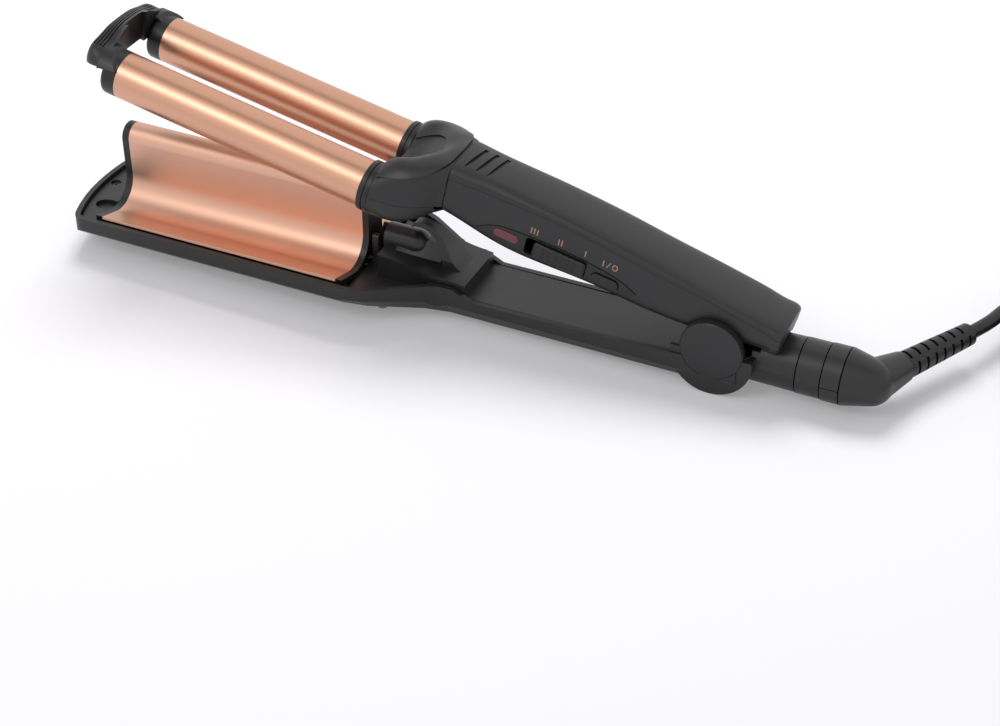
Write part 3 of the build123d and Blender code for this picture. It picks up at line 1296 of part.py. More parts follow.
def board_parts():
    y = BOARD_Y + BOARD_THICKNESS
    pieces = [box(-72, -60, y, y + 7, 7, 15).solid()]
    pieces.append(cyl_y(-84, 11.5, y, y + 8, 4.0).solid())
    pieces.append(box(-100, -95, y, y + 3, 8, 15).solid())
    return Compound(children=pieces)


def handle_wires():
    z = BARREL_AXIS_Z
    wires = []
    for side in (-1, 1):
        path = [
            (BOARD_FRONT_X - 0.2, side * 2.4 - 3.2, 15.0), (-118.5, side * 6.6, 15.4), (-127.0, side * 11.2, 15.4),
            (-146.0, side * 13.4, 13.4), (-159.0, side * BARREL_Y, z), (BARREL_REAR_X - 17.8, side * BARREL_Y, z),
        ]
        wires.append(tube(path, LEAD_R, 3.0).solid())
    return Compound(children=wires)


def arm_wires():
    leads = []
    for side in (-1, 1):
        y = 2.4 * side
        wide = (BOSS_R + LEAD_R + 0.8) * side
        path = [
            (RING_START_X, y, TAIL_AXIS_Z - 0.6), (TAIL_START_X + 1, y, TAIL_AXIS_Z - 0.6),
            (9, y, TAIL_AXIS_Z - 8), (0, y, BULGE_Z - BULGE_INNER_R + 2.8), (-8, y, TAIL_AXIS_Z - 7.6),
            (-16, y, -11.6), (-34, wide, -13.4), (-168, wide, -13.6), (-182, y, FRAME_TOP_Z - 3.1),
            (-205, y, FRAME_TOP_Z - 2.9),
        ]
        leads.append(tube(path, LEAD_R, 2.5).solid())
    return Compound(children=leads)


# ---------------------------------------------------------------------------
# Guide behind the plate: bump, core and curved spine in one moulding
# ---------------------------------------------------------------------------


def centring_guide():
    bump_z = BUMP_TOP_Z - BUMP_R
    bump = cyl_x(BUMP_FRONT_X, -150.0, 0, bump_z, BUMP_R)
    bump = bump + Pos(-150.0, 0, bump_z) * Sphere(BUMP_R)
    bump = bump + box(BUMP_FRONT_X, -150, -BUMP_R, BUMP_R, 0, bump_z)
    core = loft([
        plane_x(CORE_FRONT_X) * make_face(Polyline((-CORE_HALF_WIDTH, -2), (-CORE_HALF_WIDTH, 1.0), (-2.6, 7.6),
                                                        (2.6, 7.6), (CORE_HALF_WIDTH, 1.0), (CORE_HALF_WIDTH, -2), close=True)),
        plane_x(CORE_REAR_X) * make_face(Polyline((-6, -6), (-6, -1), (-1.6, 8.6), (1.6, 8.6), (6, -1), (6, -6), close=True)),
    ], ruled=True)
    outer = Spline((SPINE_FOOT_X, -2.4), (-125.6, -0.4), (-129.4, 3.2), (-132.4, 8.2), (-136.6, 13.2), (-142.5, 16.9),
                   (-150.5, 16.8))
    inner = Spline((-152.0, 14.6), (-144.2, 14.9), (-139.6, 12.2), (-136.2, 7.4), (-134.8, -4.0))
    end_a = Line((-150.5, 16.8), (-152.0, 14.6))
    end_b = Line((-134.8, -4.0), (SPINE_FOOT_X, -4.0))
    end_c = Line((SPINE_FOOT_X, -4.0), (SPINE_FOOT_X, -2.4))
    spine = face_prism_y([outer, end_a, inner, end_b, end_c], -7.0, 7.0)
    taper = prism_x([(-7.0, -6), (-6.6, 3), (-4.4, 11), (-2.0, 18.5), (2.0, 18.5), (4.4, 11), (6.6, 3), (7.0, -6)],
                    -160, SPINE_FOOT_X)
    guide = bump + core + (spine & taper)
    rear = PLATEAU_REAR_X
    under = prism_y(
        [(PLATEAU_FRONT_X - 5, -40), (rear, -40), (rear, PLATEAU_REAR_Z),
         (PLATEAU_FRONT_X, PLATEAU_FRONT_Z), (PLATEAU_FRONT_X, WELL_Z), (PLATEAU_FRONT_X - 5, WELL_Z)],
        -60, 60,
    )
    return guide - under


LOWER = {
    "lower_shell": lower_shell,
    "arm_cover": arm_cover,
    "centring_guide": centring_guide,
    "guide_posts": guide_posts,
    "wave_plate": wave_plate,
    "plate_front_cap": lambda: plate_cap(PLATE_FRONT_X - FRONT_CAP_LENGTH, PLATE_FRONT_X),
    "plate_rear_cap": lambda: plate_cap(PLATE_REAR_X, PLATE_REAR_X + REAR_CAP_LENGTH),
    "plate_frame": plate_frame,
    "trough_heaters": trough_heaters,
    "heater_clamps": heater_clamps,
    "plate_thermal_fuse": plate_fuse,
    "arm_screws": arm_screws,
    "arm_wires": arm_wires,
    "hinge_pin": hinge_pin,
    "hinge_cover_near": lambda: hinge_disc(-1),
    "hinge_cover_far": lambda: hinge_disc(1),
    "hinge_spring": hinge_spring,
    "tail_cover": tail_cover,
    "tail_ring": tail_ring,
    "swivel_housing": swivel_housing,
    "contact_block": contact_block,
    "swivel_spindle": swivel_spindle,
    "slip_rings": slip_rings,
    "swivel_elbow": swivel_elbow,
    "strain_relief": strain_relief,
    "cord": cord,
    "cord_coil": cord_coil,
    "plug_body": plug_body,
    "plug_pins": plug_pins,
}

UPPER = {
    "handle_top": handle_top,
    "handle_bottom": handle_bottom,
    "head_top": head_top,
    "head_bottom": head_bottom,
    "barrel_near": lambda: barrel(-BARREL_Y),
    "barrel_far": lambda: barrel(BARREL_Y),
    "barrel_collar_near": lambda: barrel_collar(-BARREL_Y),
    "barrel_collar_far": lambda: barrel_collar(BARREL_Y),
    "tip_cap_near": lambda: tip_cap(-BARREL_Y),
    "tip_cap_far": lambda: tip_cap(BARREL_Y),
    "tip_bridge": tip_bridge,
    "heat_spreaders": heat_spreaders,
    "barrel_heaters": barrel_heaters,
    "handle_wires": handle_wires,
    "hinge_bushes": hinge_bushes,
    "handle_screws": handle_screws,
    "control_panel": control_panel,
    "pilot_lens": pilot_lens,
    "pilot_lamp": pilot_lamp,
    "circuit_board": circuit_board,
    "board_parts": board_parts,
    "slide_switch": slide_switch,
    "push_switch": push_switch,
    "temperature_slider": temperature_slider,
    "power_button": power_button,
}

STAND = Pos(PIVOT_X, 0, PIVOT_HEIGHT)


def write(name, shape, place):
    placed = place * shape
    placed.label = name
    export_step(placed, "parts/" + name + ".step")


for name, make in LOWER.items():
    write(name, make(), STAND)


for name, make in UPPER.items():
    write(name, make(), STAND * Rot(0, OPEN_ANGLE, 0))
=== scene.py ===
import bmesh
import bpy
import json
import math
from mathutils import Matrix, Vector
from mathutils.bvhtree import BVHTree


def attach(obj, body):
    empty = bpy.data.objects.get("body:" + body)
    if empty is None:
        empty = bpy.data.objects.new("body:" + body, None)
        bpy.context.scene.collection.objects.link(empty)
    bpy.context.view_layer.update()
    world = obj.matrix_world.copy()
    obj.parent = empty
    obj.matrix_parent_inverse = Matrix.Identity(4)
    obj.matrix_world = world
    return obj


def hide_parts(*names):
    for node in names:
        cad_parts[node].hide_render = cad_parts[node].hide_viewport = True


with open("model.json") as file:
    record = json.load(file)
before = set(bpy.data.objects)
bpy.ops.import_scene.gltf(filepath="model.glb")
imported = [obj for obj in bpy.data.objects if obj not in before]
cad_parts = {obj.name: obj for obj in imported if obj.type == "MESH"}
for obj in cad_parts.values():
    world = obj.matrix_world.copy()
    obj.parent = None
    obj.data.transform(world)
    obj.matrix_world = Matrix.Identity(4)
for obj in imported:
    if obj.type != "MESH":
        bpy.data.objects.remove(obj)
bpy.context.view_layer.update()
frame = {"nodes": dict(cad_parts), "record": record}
nodes = frame["nodes"]

# ---------------------------------------------------------------------------
# Places, in millimetres about the hinge axis, as in the part's source
# ---------------------------------------------------------------------------
OPEN_ANGLE = math.radians(12.0)
OPEN_COS = math.cos(OPEN_ANGLE)
OPEN_SIN = math.sin(OPEN_ANGLE)
ELBOW_ANGLE = math.radians(61.0)
ELBOW_TURN_X = 67.0
BOSS_REACH = 19.0
BOSS_WALL = 0.7
RELIEF_D = 12.8
BOSS_END_X = ELBOW_TURN_X + BOSS_REACH * math.cos(ELBOW_ANGLE)
OBJECT_REAR_X = BOSS_END_X + (RELIEF_D / 2 + BOSS_WALL) * math.sin(ELBOW_ANGLE)
TIP_REACH = 323.2
PIVOT_X = (TIP_REACH - OBJECT_REAR_X) / 2
PIVOT_HEIGHT = 23.0
TABLE_Z = -PIVOT_HEIGHT


def place(x, y, z):
    """A point of the lower arm, in metres."""
    return Vector(((x + PIVOT_X) / 1000, y / 1000, (z + PIVOT_HEIGHT) / 1000))


def opened(x, y, z):
    """A point of the upper arm, given where it is with the arms closed."""
    return place(x * OPEN_COS + z * OPEN_SIN, y, -x * OPEN_SIN + z * OPEN_COS)


def closed(point):
    """The opposite of opened: a point in metres, taken to where it is with the arms closed."""
    x = point.x * 1000 - PIVOT_X
    z = point.z * 1000 - PIVOT_HEIGHT
    return Vector((x * OPEN_COS - z * OPEN_SIN, point.y * 1000, x * OPEN_SIN + z * OPEN_COS))


def linked_object(name, data):
    obj = bpy.data.objects.new(name, data)
    bpy.context.scene.collection.objects.link(obj)
    return obj


# ---------------------------------------------------------------------------
# Camera
# ---------------------------------------------------------------------------
CAMERA_PLACE = (215.394, -699.335, 517.343)
CAMERA_DOWN = math.radians(36.44)
CAMERA_TURN = math.radians(24.85)
CAMERA_LENS = 73.05

camera_data = bpy.data.cameras.new("camera")
camera_data.sensor_fit = "HORIZONTAL"
camera_data.sensor_width = 36.0
camera_data.lens = CAMERA_LENS
camera_data.clip_start = 0.01
camera_data.clip_end = 100.0
camera = linked_object("camera", camera_data)
camera.location = place(*CAMERA_PLACE)
camera.rotation_euler = (math.radians(90.0) - CAMERA_DOWN, 0, CAMERA_TURN)
bpy.context.scene.camera = camera

# ---------------------------------------------------------------------------
# Materials
# ---------------------------------------------------------------------------
SHELL_GRAIN_SCALE = 900.0
CORD_GRAIN_SCALE = 500.0
GRAIN_DETAIL = 2.0
GRAIN_DEPTH = 0.0001
COAT_ROUGHNESS = 0.15


def add_grain(tree, shader, strength, scale):
    """Fine moulded grain, as a bump fixed to the piece."""
    coordinates = tree.nodes.new("ShaderNodeTexCoord")
    noise = tree.nodes.new("ShaderNodeTexNoise")
    bump = tree.nodes.new("ShaderNodeBump")
    noise.inputs["Scale"].default_value = scale
    noise.inputs["Detail"].default_value = GRAIN_DETAIL
    bump.inputs["Strength"].default_value = strength
    bump.inputs["Distance"].default_value = GRAIN_DEPTH
    tree.links.new(coordinates.outputs["Object"], noise.inputs["Vector"])
    tree.links.new(noise.outputs["Fac"], bump.inputs["Height"])
    tree.links.new(bump.outputs["Normal"], shader.inputs["Normal"])


def make_material(
    name, colour, roughness, metallic=0.0, specular=0.5, coat=0.0, grain=0.0, grain_scale=SHELL_GRAIN_SCALE,
):
    material = bpy.data.materials.new(name)
    material.use_nodes = True
    tree = material.node_tree
    shader = tree.nodes["Principled BSDF"]
    shader.inputs["Base Color"].default_value = (*colour, 1.0)
    shader.inputs["Roughness"].default_value = roughness
    shader.inputs["Metallic"].default_value = metallic
    shader.inputs["Specular IOR Level"].default_value = specular
    shader.inputs["Coat Weight"].default_value = coat
    shader.inputs["Coat Roughness"].default_value = COAT_ROUGHNESS
    if grain > 0:
        add_grain(tree, shader, grain, grain_scale)
    return material


# name of the slot: base colour, roughness, and what else differs from a plain plastic
SLOT_FINISHES = {
    "black_soft": ((0.019, 0.019, 0.020), 0.42, {"specular": 0.46, "grain": 0.22}),
    "black_satin": ((0.017, 0.017, 0.018), 0.38, {"specular": 0.46, "grain": 0.12}),
    "black_heatproof": ((0.013, 0.013, 0.014), 0.38, {"specular": 0.42, "grain": 0.12}),
    "black_gloss": ((0.012, 0.012, 0.013), 0.34, {"specular": 0.40}),
    "copper_coat": ((0.66, 0.365, 0.25), 0.34, {"metallic": 1.0}),
    "red_lens": ((0.16, 0.012, 0.026), 0.25, {"coat": 0.3}),
    "lamp": ((0.75, 0.12, 0.08), 0.3, {}),
    "heater_alu": ((0.75, 0.76, 0.78), 0.35, {"metallic": 1.0}),
    "heater_ceramic": ((0.80, 0.78, 0.72), 0.6, {}),
    "spring_steel": ((0.55, 0.55, 0.56), 0.3, {"metallic": 1.0}),
    "steel": ((0.20, 0.20, 0.21), 0.38, {"metallic": 1.0}),
    "brass": ((0.78, 0.60, 0.30), 0.25, {"metallic": 1.0}),
    "board": ((0.05, 0.22, 0.09), 0.4, {}),
    "parts_dark": ((0.05, 0.05, 0.055), 0.45, {}),
    "cord_black": (
        (0.012, 0.012, 0.013), 0.40, {"specular": 0.4, "grain": 0.2, "grain_scale": CORD_GRAIN_SCALE},
    ),
    "lead_insulation": ((0.75, 0.72, 0.64), 0.5, {}),
}
finishes = {}
for slot_name, (colour, roughness, more) in SLOT_FINISHES.items():
    finishes[slot_name] = make_material(slot_name, colour, roughness, **more)
# Wave plate: the barrels' copper in a lighter colour. The lightening is painted light that brightens its
# trough. It is also rougher, to blur a dark reflection.
plate_copper_painted_light = make_material("plate_copper_painted_light", (0.72, 0.435, 0.32), 0.42, metallic=1.0)
print_ink = make_material("print_ink", (0.50, 0.27, 0.19), 0.5)

for part in frame["record"]["subparts"]:
    mesh = nodes[part["node"]].data
    mesh.materials.clear()
    mesh.materials.append(finishes[part["material_slot"]])
nodes["wave_plate"].data.materials[0] = plate_copper_painted_light


# ---------------------------------------------------------------------------
# Pieces of the upper arm, given in millimetres with the arms closed
# ---------------------------------------------------------------------------
def surface_of(*names):
    """Search tree over the surface of some nodes of the upper arm."""
    points, faces = [], []
    for name in names:
        obj = nodes[name]
        first = len(points)
        points += [closed(obj.matrix_world @ vertex.co) for vertex in obj.data.vertices]
        faces += [tuple(first + i for i in face.vertices) for face in obj.data.polygons]
    return BVHTree.FromPolygons(points, faces)


def add_piece(name, points, faces, body, slot, material=None, smooth=True):
    mesh = bpy.data.meshes.new(name)
    mesh.from_pydata([opened(*p) for p in points], [], faces)
    shape = bmesh.new()
    shape.from_mesh(mesh)
    bmesh.ops.recalc_face_normals(shape, faces=shape.faces)
    shape.to_mesh(mesh)
    shape.free()
    mesh.materials.append(material or finishes[slot])
    for polygon in mesh.polygons:
        polygon.use_smooth = smooth
    obj = linked_object(name, mesh)
    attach(obj, body)
    return obj


def round_angles(count):
    return [2 * math.pi * i / count for i in range(count)]


# ---------------------------------------------------------------------------
# Band over the yoke: a U open toward the barrels, laid on the shell
# ---------------------------------------------------------------------------
BAND_LIFT = 0.9
BAND_SUNK = 0.5
BAND_STEPS = 64
BAND_STEPS_ACROSS = 12
BAND_EDGE_ANGLE = math.radians(32)
PROBE_Z = 60.0
# (x, y, z) along each edge on the near side, from the barrels to the middle of the yoke
BAND_INNER = [
    (-163.6, -12.4, 20.0),
    (-157.5, -12.2, 21.0),
    (-151.5, -10.6, 24.0),
    (-146.6, -6.4, 27.0),
    (-145.0, 0.0, 28.0),
]
BAND_OUTER = [
    (-163.6, -26.4, 19.5),
    (-155.2, -25.9, 22.1),
    (-148.9, -24.2, 24.3),
    (-141.9, -19.6, 27.3),
    (-136.2, -10.0, 31.0),
]


def u_line(half):
    """The whole edge, from its near half; a point in the middle isn't repeated."""
    far_half = half if half[-1][1] else half[:-1]
    return [Vector(p) for p in half] + [Vector((x, -y, z)) for x, y, z in reversed(far_half)]


def along(points, t):
    """Point at 0 to 1 along a broken line, smoothed."""
    last = len(points) - 1
    i = min(int(t * last), last - 1)
    f = t * last - i
    p = [points[max(0, min(last, i + k))] for k in (-1, 0, 1, 2)]
    bend = 2 * p[0] - 5 * p[1] + 4 * p[2] - p[3]
    twist = 3 * p[1] - p[0] - 3 * p[2] + p[3]
    return 0.5 * (2 * p[1] + (p[2] - p[0]) * f + bend * f * f + twist * f * f * f)


def sheet_faces(rows, columns):
    """Faces of a closed sheet: its top grid of points first, then the same grid below."""
    below = rows * columns
    faces = []
    for i in range(rows - 1):
        for j in range(columns - 1):
            a = i * columns + j
            b, c, d = a + 1, a + columns + 1, a + columns
            faces += [(a, b, c, d), (below + d, below + c, below + b, below + a)]
    rim = list(range(columns))
    rim += [i * columns + columns - 1 for i in range(1, rows)]
    rim += [(rows - 1) * columns + j for j in range(columns - 2, -1, -1)]
    rim += [i * columns for i in range(rows - 2, 0, -1)]
    for k, a in enumerate(rim):
        b = rim[(k + 1) % len(rim)]
        faces.append((b, a, below + a, below + b))
    return faces


def yoke_band():
    """Closed sheet with its top above the shell and its underside sunk into it."""
    shell = surface_of("head_top")
    inner, outer = u_line(BAND_INNER), u_line(BAND_OUTER)
    top, low = [], []
    for i in range(BAND_STEPS + 1):
        a, b = along(inner, i / BAND_STEPS), along(outer, i / BAND_STEPS)
        for j in range(BAND_STEPS_ACROSS + 1):
            point = a.lerp(b, j / BAND_STEPS_ACROSS)
            near, normal, _, _ = shell.ray_cast(Vector((point.x, point.y, PROBE_Z)), Vector((0, 0, -1)))
            if near is None:
                near, normal, _, _ = shell.find_nearest(point)
            top.append(near + normal * BAND_LIFT)
            low.append(near - normal * BAND_SUNK)
    faces = sheet_faces(BAND_STEPS + 1, BAND_STEPS_ACROSS + 1)
    band = add_piece("yoke_band", top + low, faces, "upper_arm", "black_satin")
    band.data.set_sharp_from_angle(angle=BAND_EDGE_ANGLE)


yoke_band()

# ---------------------------------------------------------------------------
# Printed marks by the slider and the power button
# ---------------------------------------------------------------------------
MARK_LIFT = 0.07
MARK_HEIGHT = 3.1
MARK_WIDTH = 0.55
MARK_SPACING = 1.5
SLIDER_MARK_Z = 17.8
SLIDER_MARKS = (("three", -91.0, 3), ("two", -78.4, 2), ("one", -66.2, 1))
POWER_MARK_Z = 17.2
POWER_BAR_X = -57.4
POWER_STROKE_X = -54.9
POWER_STROKE_WIDTH = 0.42
POWER_STROKE_LEAN = 0.75
POWER_RING_X = -51.8
POWER_RING_RADII = ((1.35, 1.6), (0.85, 1.1))
POWER_RING_STEPS = 28
FLANK_PROBE_Y = -40.0
handle_surface = surface_of("handle_bottom", "handle_top")


def outline_faces(count):
    """Faces of a closed plate: its outline first, then the same points behind."""
    faces = [tuple(range(count)), tuple(range(2 * count - 1, count - 1, -1))]
    faces += [((i + 1) % count, i, count + i, count + (i + 1) % count) for i in range(count)]
    return faces


def ring_faces(count):
    """Faces of a closed ring: its outer edge, then its inner edge, then the same points behind."""
    half = count // 2
    faces = []
    for i in range(half):
        j = (i + 1) % half
        faces += [(i, j, half + j, half + i), (count + j, count + i, count + half + i, count + half + j)]
        faces += [(j, i, count + i, count + j), (half + i, half + j, count + half + j, count + half + i)]
    return faces


def printed_shape(name, outline, faces_of=outline_faces):
    """A thin printed shape on the near flank of the handle, from its (x, z) points."""
    points = []
    for x, z in outline:
        near, normal, _, _ = handle_surface.ray_cast(Vector((x, FLANK_PROBE_Y, z)), Vector((0, 1, 0)))
        points.append(near + normal * MARK_LIFT)
    behind = [p + Vector((0, 2 * MARK_LIFT, 0)) for p in points]
    faces = faces_of(len(points))
    add_piece(name, points + behind, faces, "upper_arm", "copper_coat", material=print_ink, smooth=False)


def bar_outline(x, z, width, lean=0.0):
    w, h = width / 2, MARK_HEIGHT / 2
    return [(x - w - lean, z - h), (x + w - lean, z - h), (x + w + lean, z + h), (x - w + lean, z + h)]


for word, middle_x, count in SLIDER_MARKS:
    for i in range(count):
        bar_x = middle_x + (i - (count - 1) / 2) * MARK_SPACING
        printed_shape(f"mark_{word}_{i + 1}", bar_outline(bar_x, SLIDER_MARK_Z, MARK_WIDTH))
printed_shape("mark_power_bar", bar_outline(POWER_BAR_X, POWER_MARK_Z, MARK_WIDTH))
stroke = bar_outline(POWER_STROKE_X, POWER_MARK_Z, POWER_STROKE_WIDTH, POWER_STROKE_LEAN)
printed_shape("mark_power_stroke", stroke)
power_ring = [
    (POWER_RING_X + radius_x * math.cos(a), POWER_MARK_Z + radius_z * math.sin(a))
    for radius_x, radius_z in POWER_RING_RADII
    for a in round_angles(POWER_RING_STEPS)
]
printed_shape("mark_power_ring", power_ring, ring_faces)

# ---------------------------------------------------------------------------
# Dotted pad over the slider's ribs
# ---------------------------------------------------------------------------
PAD_X0, PAD_X1 = -89.2, -64.8
PAD_Z0, PAD_Z1 = 5.4, 13.2
PAD_Y = -15.75
PAD_DEPTH = 1.2
PAD_BEVEL = 0.4
PAD_BEVEL_DEPTH = 0.35
DOT_ROWS = 3
DOT_COLUMNS = 6
DOT_MARGIN = 4.6
DOT_ROW_PITCH = 2.2
DOT_R = 0.75
DOT_DEPTH = 0.35
DOT_ROOT = 0.05
DOT_SIDES = 12


def pad_corners(inset, y):
    x0, x1 = PAD_X0 + inset, PAD_X1 - inset
    z0, z1 = PAD_Z0 + inset, PAD_Z1 - inset
    return [(x0, y, z0), (x1, y, z0), (x1, y, z1), (x0, y, z1)]


def pad_block():
    """Block with a bevelled front: bevel edge, front and back, four corners each."""
    points = pad_corners(0.0, PAD_Y + PAD_BEVEL_DEPTH) + pad_corners(PAD_BEVEL, PAD_Y)
    points += pad_corners(0.0, PAD_Y + PAD_DEPTH)
    faces = [(4, 5, 6, 7), (11, 10, 9, 8)]
    for i in range(4):
        j = (i + 1) % 4
        faces += [(i, j, 4 + j, 4 + i), (8 + i, 8 + j, j, i)]
    return points, faces


def dot(x, z, first):
    """A domed dot about (x, z), with its points numbered from first."""
    layers = (
        (DOT_R, PAD_Y + DOT_ROOT),
        (0.8 * DOT_R, PAD_Y - 0.6 * DOT_DEPTH),
        (0.4 * DOT_R, PAD_Y - DOT_DEPTH),
    )
    points, faces = [], []
    for radius, y in layers:
        points += [(x + radius * math.cos(a), y, z + radius * math.sin(a)) for a in round_angles(DOT_SIDES)]
    top = first + (len(layers) - 1) * DOT_SIDES
    for start in range(first, top, DOT_SIDES):
        for k in range(DOT_SIDES):
            m = (k + 1) % DOT_SIDES
            faces.append((start + k, start + m, start + DOT_SIDES + m, start + DOT_SIDES + k))
    faces.append(tuple(top + k for k in range(DOT_SIDES)))
    faces.append(tuple(first + k for k in reversed(range(DOT_SIDES))))
    return points, faces


def slider_pad():
    points, faces = pad_block()
    for row in range(DOT_ROWS):
        for column in range(DOT_COLUMNS):
            x = PAD_X0 + DOT_MARGIN + (PAD_X1 - PAD_X0 - 2 * DOT_MARGIN) * column / (DOT_COLUMNS - 1)
            z = (PAD_Z0 + PAD_Z1) / 2 + DOT_ROW_PITCH * (row - (DOT_ROWS - 1) / 2)
            dot_points, dot_faces = dot(x, z, len(points))
            points += dot_points
            faces += dot_faces
    add_piece("slider_pad", points, faces, "slider", "black_gloss", smooth=False)


slider_pad()

# ---------------------------------------------------------------------------
# Mains lead: one curve from the strain relief through the coil to the plug
# ---------------------------------------------------------------------------
TAIL_AXIS_Z = -7.5
RELIEF_REACH = 60.0
CORD_D = 6.4
CORD_R = CORD_D / 2
CORD_Z = TABLE_Z + CORD_R
COIL_X = 152.0
COIL_Y = 88.0
COIL_TURN_R = 34.7
COIL_PITCH = 6.5
COIL_LAYER = 6.45
COIL_ENTRY = math.radians(150.0)
COIL_STEPS = 36
OUTER_R = COIL_TURN_R + COIL_PITCH
INNER_R = COIL_TURN_R - COIL_PITCH
MIDDLE_Z = CORD_Z + COIL_LAYER
COIL_TOP_Z = CORD_Z + 2 * COIL_LAYER
PLUG_X = 193.5
PLUG_HEIGHT = 14.0
PLUG_Z = TABLE_Z + PLUG_HEIGHT / 2

exit_point = (
    ELBOW_TURN_X + RELIEF_REACH * math.cos(ELBOW_ANGLE),
    RELIEF_REACH * math.sin(ELBOW_ANGLE),
    TAIL_AXIS_Z,
)
LEAD_POINTS = [
    exit_point,
    (102.63, 64.29, -7.5),
    (106.6, 78.0, -7.0),
    (113.8, 91.0, COIL_TOP_Z),
]
TAIL_POINTS = [
    (COIL_X + OUTER_R + 0.2, 68.0, CORD_Z),
    (PLUG_X, 54.0, PLUG_Z),
    (PLUG_X, 38.0, PLUG_Z),
]
# the coil starts on its middle radius and top layer; each row is a later change:
# (turns wound when it starts, radius after it, height after it)
COIL_CHANGES = [
    (1.27, OUTER_R, COIL_TOP_Z),
    (2.39, OUTER_R, MIDDLE_Z),
    (3.27, COIL_TURN_R, MIDDLE_Z),
    (4.27, INNER_R, MIDDLE_Z),
    (5.15, INNER_R, CORD_Z),
    (6.03, COIL_TURN_R, CORD_Z),
    (7.03, OUTER_R, CORD_Z),
]
CHANGE_TURNS = 0.12
FIRST_TURN = 0.5 + (math.pi - COIL_ENTRY) / (2 * math.pi)
LAST_TURN = 8.0


def coil_point(turn):
    """A point of the coil, which winds clockwise; a whole turn ends at the +X side."""
    r, z = COIL_TURN_R, COIL_TOP_Z
    for start, next_r, next_z in COIL_CHANGES:
        t = min(max((turn - start) / CHANGE_TURNS, 0.0), 1.0)
        t = t * t * (3 - 2 * t)
        r += (next_r - r) * t
        z += (next_z - z) * t
    angle = -2 * math.pi * turn
    return (COIL_X + r * math.cos(angle), COIL_Y + r * math.sin(angle), z)


def mains_lead():
    count = round((LAST_TURN - FIRST_TURN) * COIL_STEPS)
    step = (LAST_TURN - FIRST_TURN) / count
    coil = [coil_point(FIRST_TURN + i * step) for i in range(count + 1)]
    route = LEAD_POINTS + coil + TAIL_POINTS
    curve = bpy.data.curves.new("mains_lead", "CURVE")
    curve.dimensions = "3D"
    curve.bevel_depth = CORD_R / 1000
    curve.bevel_resolution = 6
    curve.resolution_u = 6
    curve.use_fill_caps = True
    spline = curve.splines.new("NURBS")
    spline.points.add(len(route) - 1)
    for point, where in zip(spline.points, route):
        point.co = (*place(*where), 1.0)
    spline.order_u = 3
    spline.use_endpoint_u = True
    curve.materials.append(finishes["cord_black"])
    return linked_object("mains_lead", curve)


lead = mains_lead()
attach(lead, "cable_swivel")
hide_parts("cord", "cord_coil")

# ---------------------------------------------------------------------------
# Floor, world and lights
# ---------------------------------------------------------------------------
WHITE = (1, 1, 1, 1)
FLOOR_HALF = 6.0
FLOOR_DROP = 0.0002
FLOOR_COLOUR = (0.785, 0.78, 0.82, 1)
FLOOR_GLOW = 0.22
WORLD_LIGHT = 0.42
WORLD_SEEN = 1.0
CARD_GREY = (0.36, 0.36, 0.36, 1)


def bare_material(name):
    """A material with nothing but its output node, and that node's surface socket."""
    material = bpy.data.materials.new(name)
    material.use_nodes = True
    tree = material.node_tree
    tree.nodes.clear()
    return material, tree, tree.nodes.new("ShaderNodeOutputMaterial").inputs["Surface"]


def seen_directly(tree):
    """1 for the camera's rays and for reflections, 0 for the light that falls on the object."""
    path = tree.nodes.new("ShaderNodeLightPath")
    seen = tree.nodes.new("ShaderNodeMath")
    seen.operation = "MAXIMUM"
    tree.links.new(path.outputs["Is Camera Ray"], seen.inputs[0])
    tree.links.new(path.outputs["Is Glossy Ray"], seen.inputs[1])
    return seen.outputs[0]


def flat_quad(name, half_x, half_y):
    mesh = bpy.data.meshes.new(name)
    corners = [(-half_x, -half_y, 0), (half_x, -half_y, 0), (half_x, half_y, 0), (-half_x, half_y, 0)]
    mesh.from_pydata(corners, [], [(0, 1, 2, 3)])
    return linked_object(name, mesh)


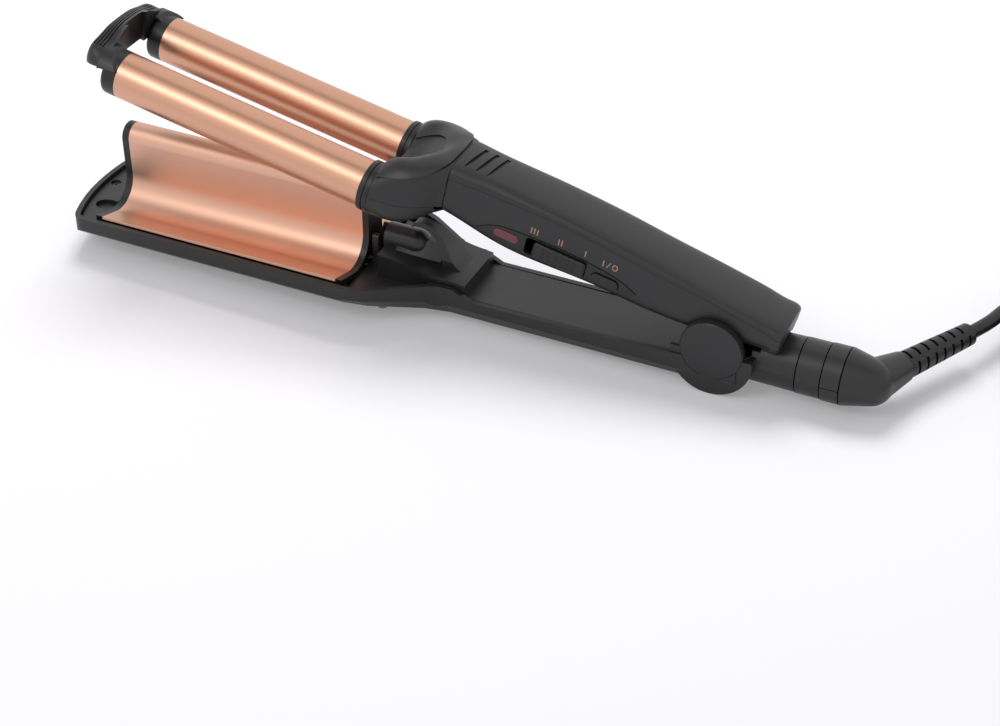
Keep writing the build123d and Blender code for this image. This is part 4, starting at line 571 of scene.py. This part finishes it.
def make_floor():
    """Pale plain floor; its glow brings it near white without lighting the object."""
    floor = flat_quad("floor", FLOOR_HALF, FLOOR_HALF)
    floor.location.z = -FLOOR_DROP
    material, tree, surface = bare_material("floor")
    diffuse = tree.nodes.new("ShaderNodeBsdfDiffuse")
    diffuse.inputs["Color"].default_value = FLOOR_COLOUR
    glow = tree.nodes.new("ShaderNodeEmission")
    glow.inputs["Color"].default_value = WHITE
    scale = tree.nodes.new("ShaderNodeMath")
    scale.operation = "MULTIPLY"
    scale.inputs[1].default_value = FLOOR_GLOW
    add = tree.nodes.new("ShaderNodeAddShader")
    tree.links.new(seen_directly(tree), scale.inputs[0])
    tree.links.new(scale.outputs[0], glow.inputs["Strength"])
    tree.links.new(diffuse.outputs[0], add.inputs[0])
    tree.links.new(glow.outputs[0], add.inputs[1])
    tree.links.new(add.outputs[0], surface)
    floor.data.materials.append(material)


def make_world():
    """White where it is seen, dimmer in what it casts on the object."""
    world = bpy.data.worlds.new("world")
    bpy.context.scene.world = world
    world.use_nodes = True
    tree = world.node_tree
    tree.nodes.clear()
    out = tree.nodes.new("ShaderNodeOutputWorld")
    glow = tree.nodes.new("ShaderNodeBackground")
    glow.inputs["Color"].default_value = WHITE
    strength = tree.nodes.new("ShaderNodeMapRange")
    strength.inputs["To Min"].default_value = WORLD_LIGHT
    strength.inputs["To Max"].default_value = WORLD_SEEN
    tree.links.new(seen_directly(tree), strength.inputs["Value"])
    tree.links.new(strength.outputs["Result"], glow.inputs["Strength"])
    tree.links.new(glow.outputs[0], out.inputs["Surface"])


def area_light(name, at, target, size, watts):
    data = bpy.data.lights.new(name, "AREA")
    data.shape = "DISK"
    data.size = size
    data.energy = watts
    light = linked_object(name, data)
    light.location = at
    light.rotation_euler = (Vector(target) - Vector(at)).to_track_quat("-Z", "Y").to_euler()
    return light


def reflected_card(name, at, size):
    """A grey card that only reflections see: it gives round metal its darker stripe."""
    card = flat_quad(name, size[0] / 2, size[1] / 2)
    card.location = at
    material, tree, surface = bare_material(name)
    glow = tree.nodes.new("ShaderNodeEmission")
    glow.inputs["Color"].default_value = CARD_GREY
    tree.links.new(glow.outputs[0], surface)
    card.data.materials.append(material)
    card.visible_camera = False
    card.visible_diffuse = False
    card.visible_shadow = False
    card.visible_transmission = False


make_floor()
make_world()
key_light = area_light("key_light", at=(-0.25, 0.75, 1.5), target=(0, 0, 0), size=0.9, watts=18)
key_light.visible_glossy = False
area_light("fill_light", at=(-0.45, -0.95, 1.15), target=(-0.05, 0, 0.05), size=0.6, watts=3.2)
reflected_card("stripe_card", at=(-0.30, -0.02, 1.2), size=(2.4, 0.34))

bpy.context.scene.view_settings.view_transform = "Standard"
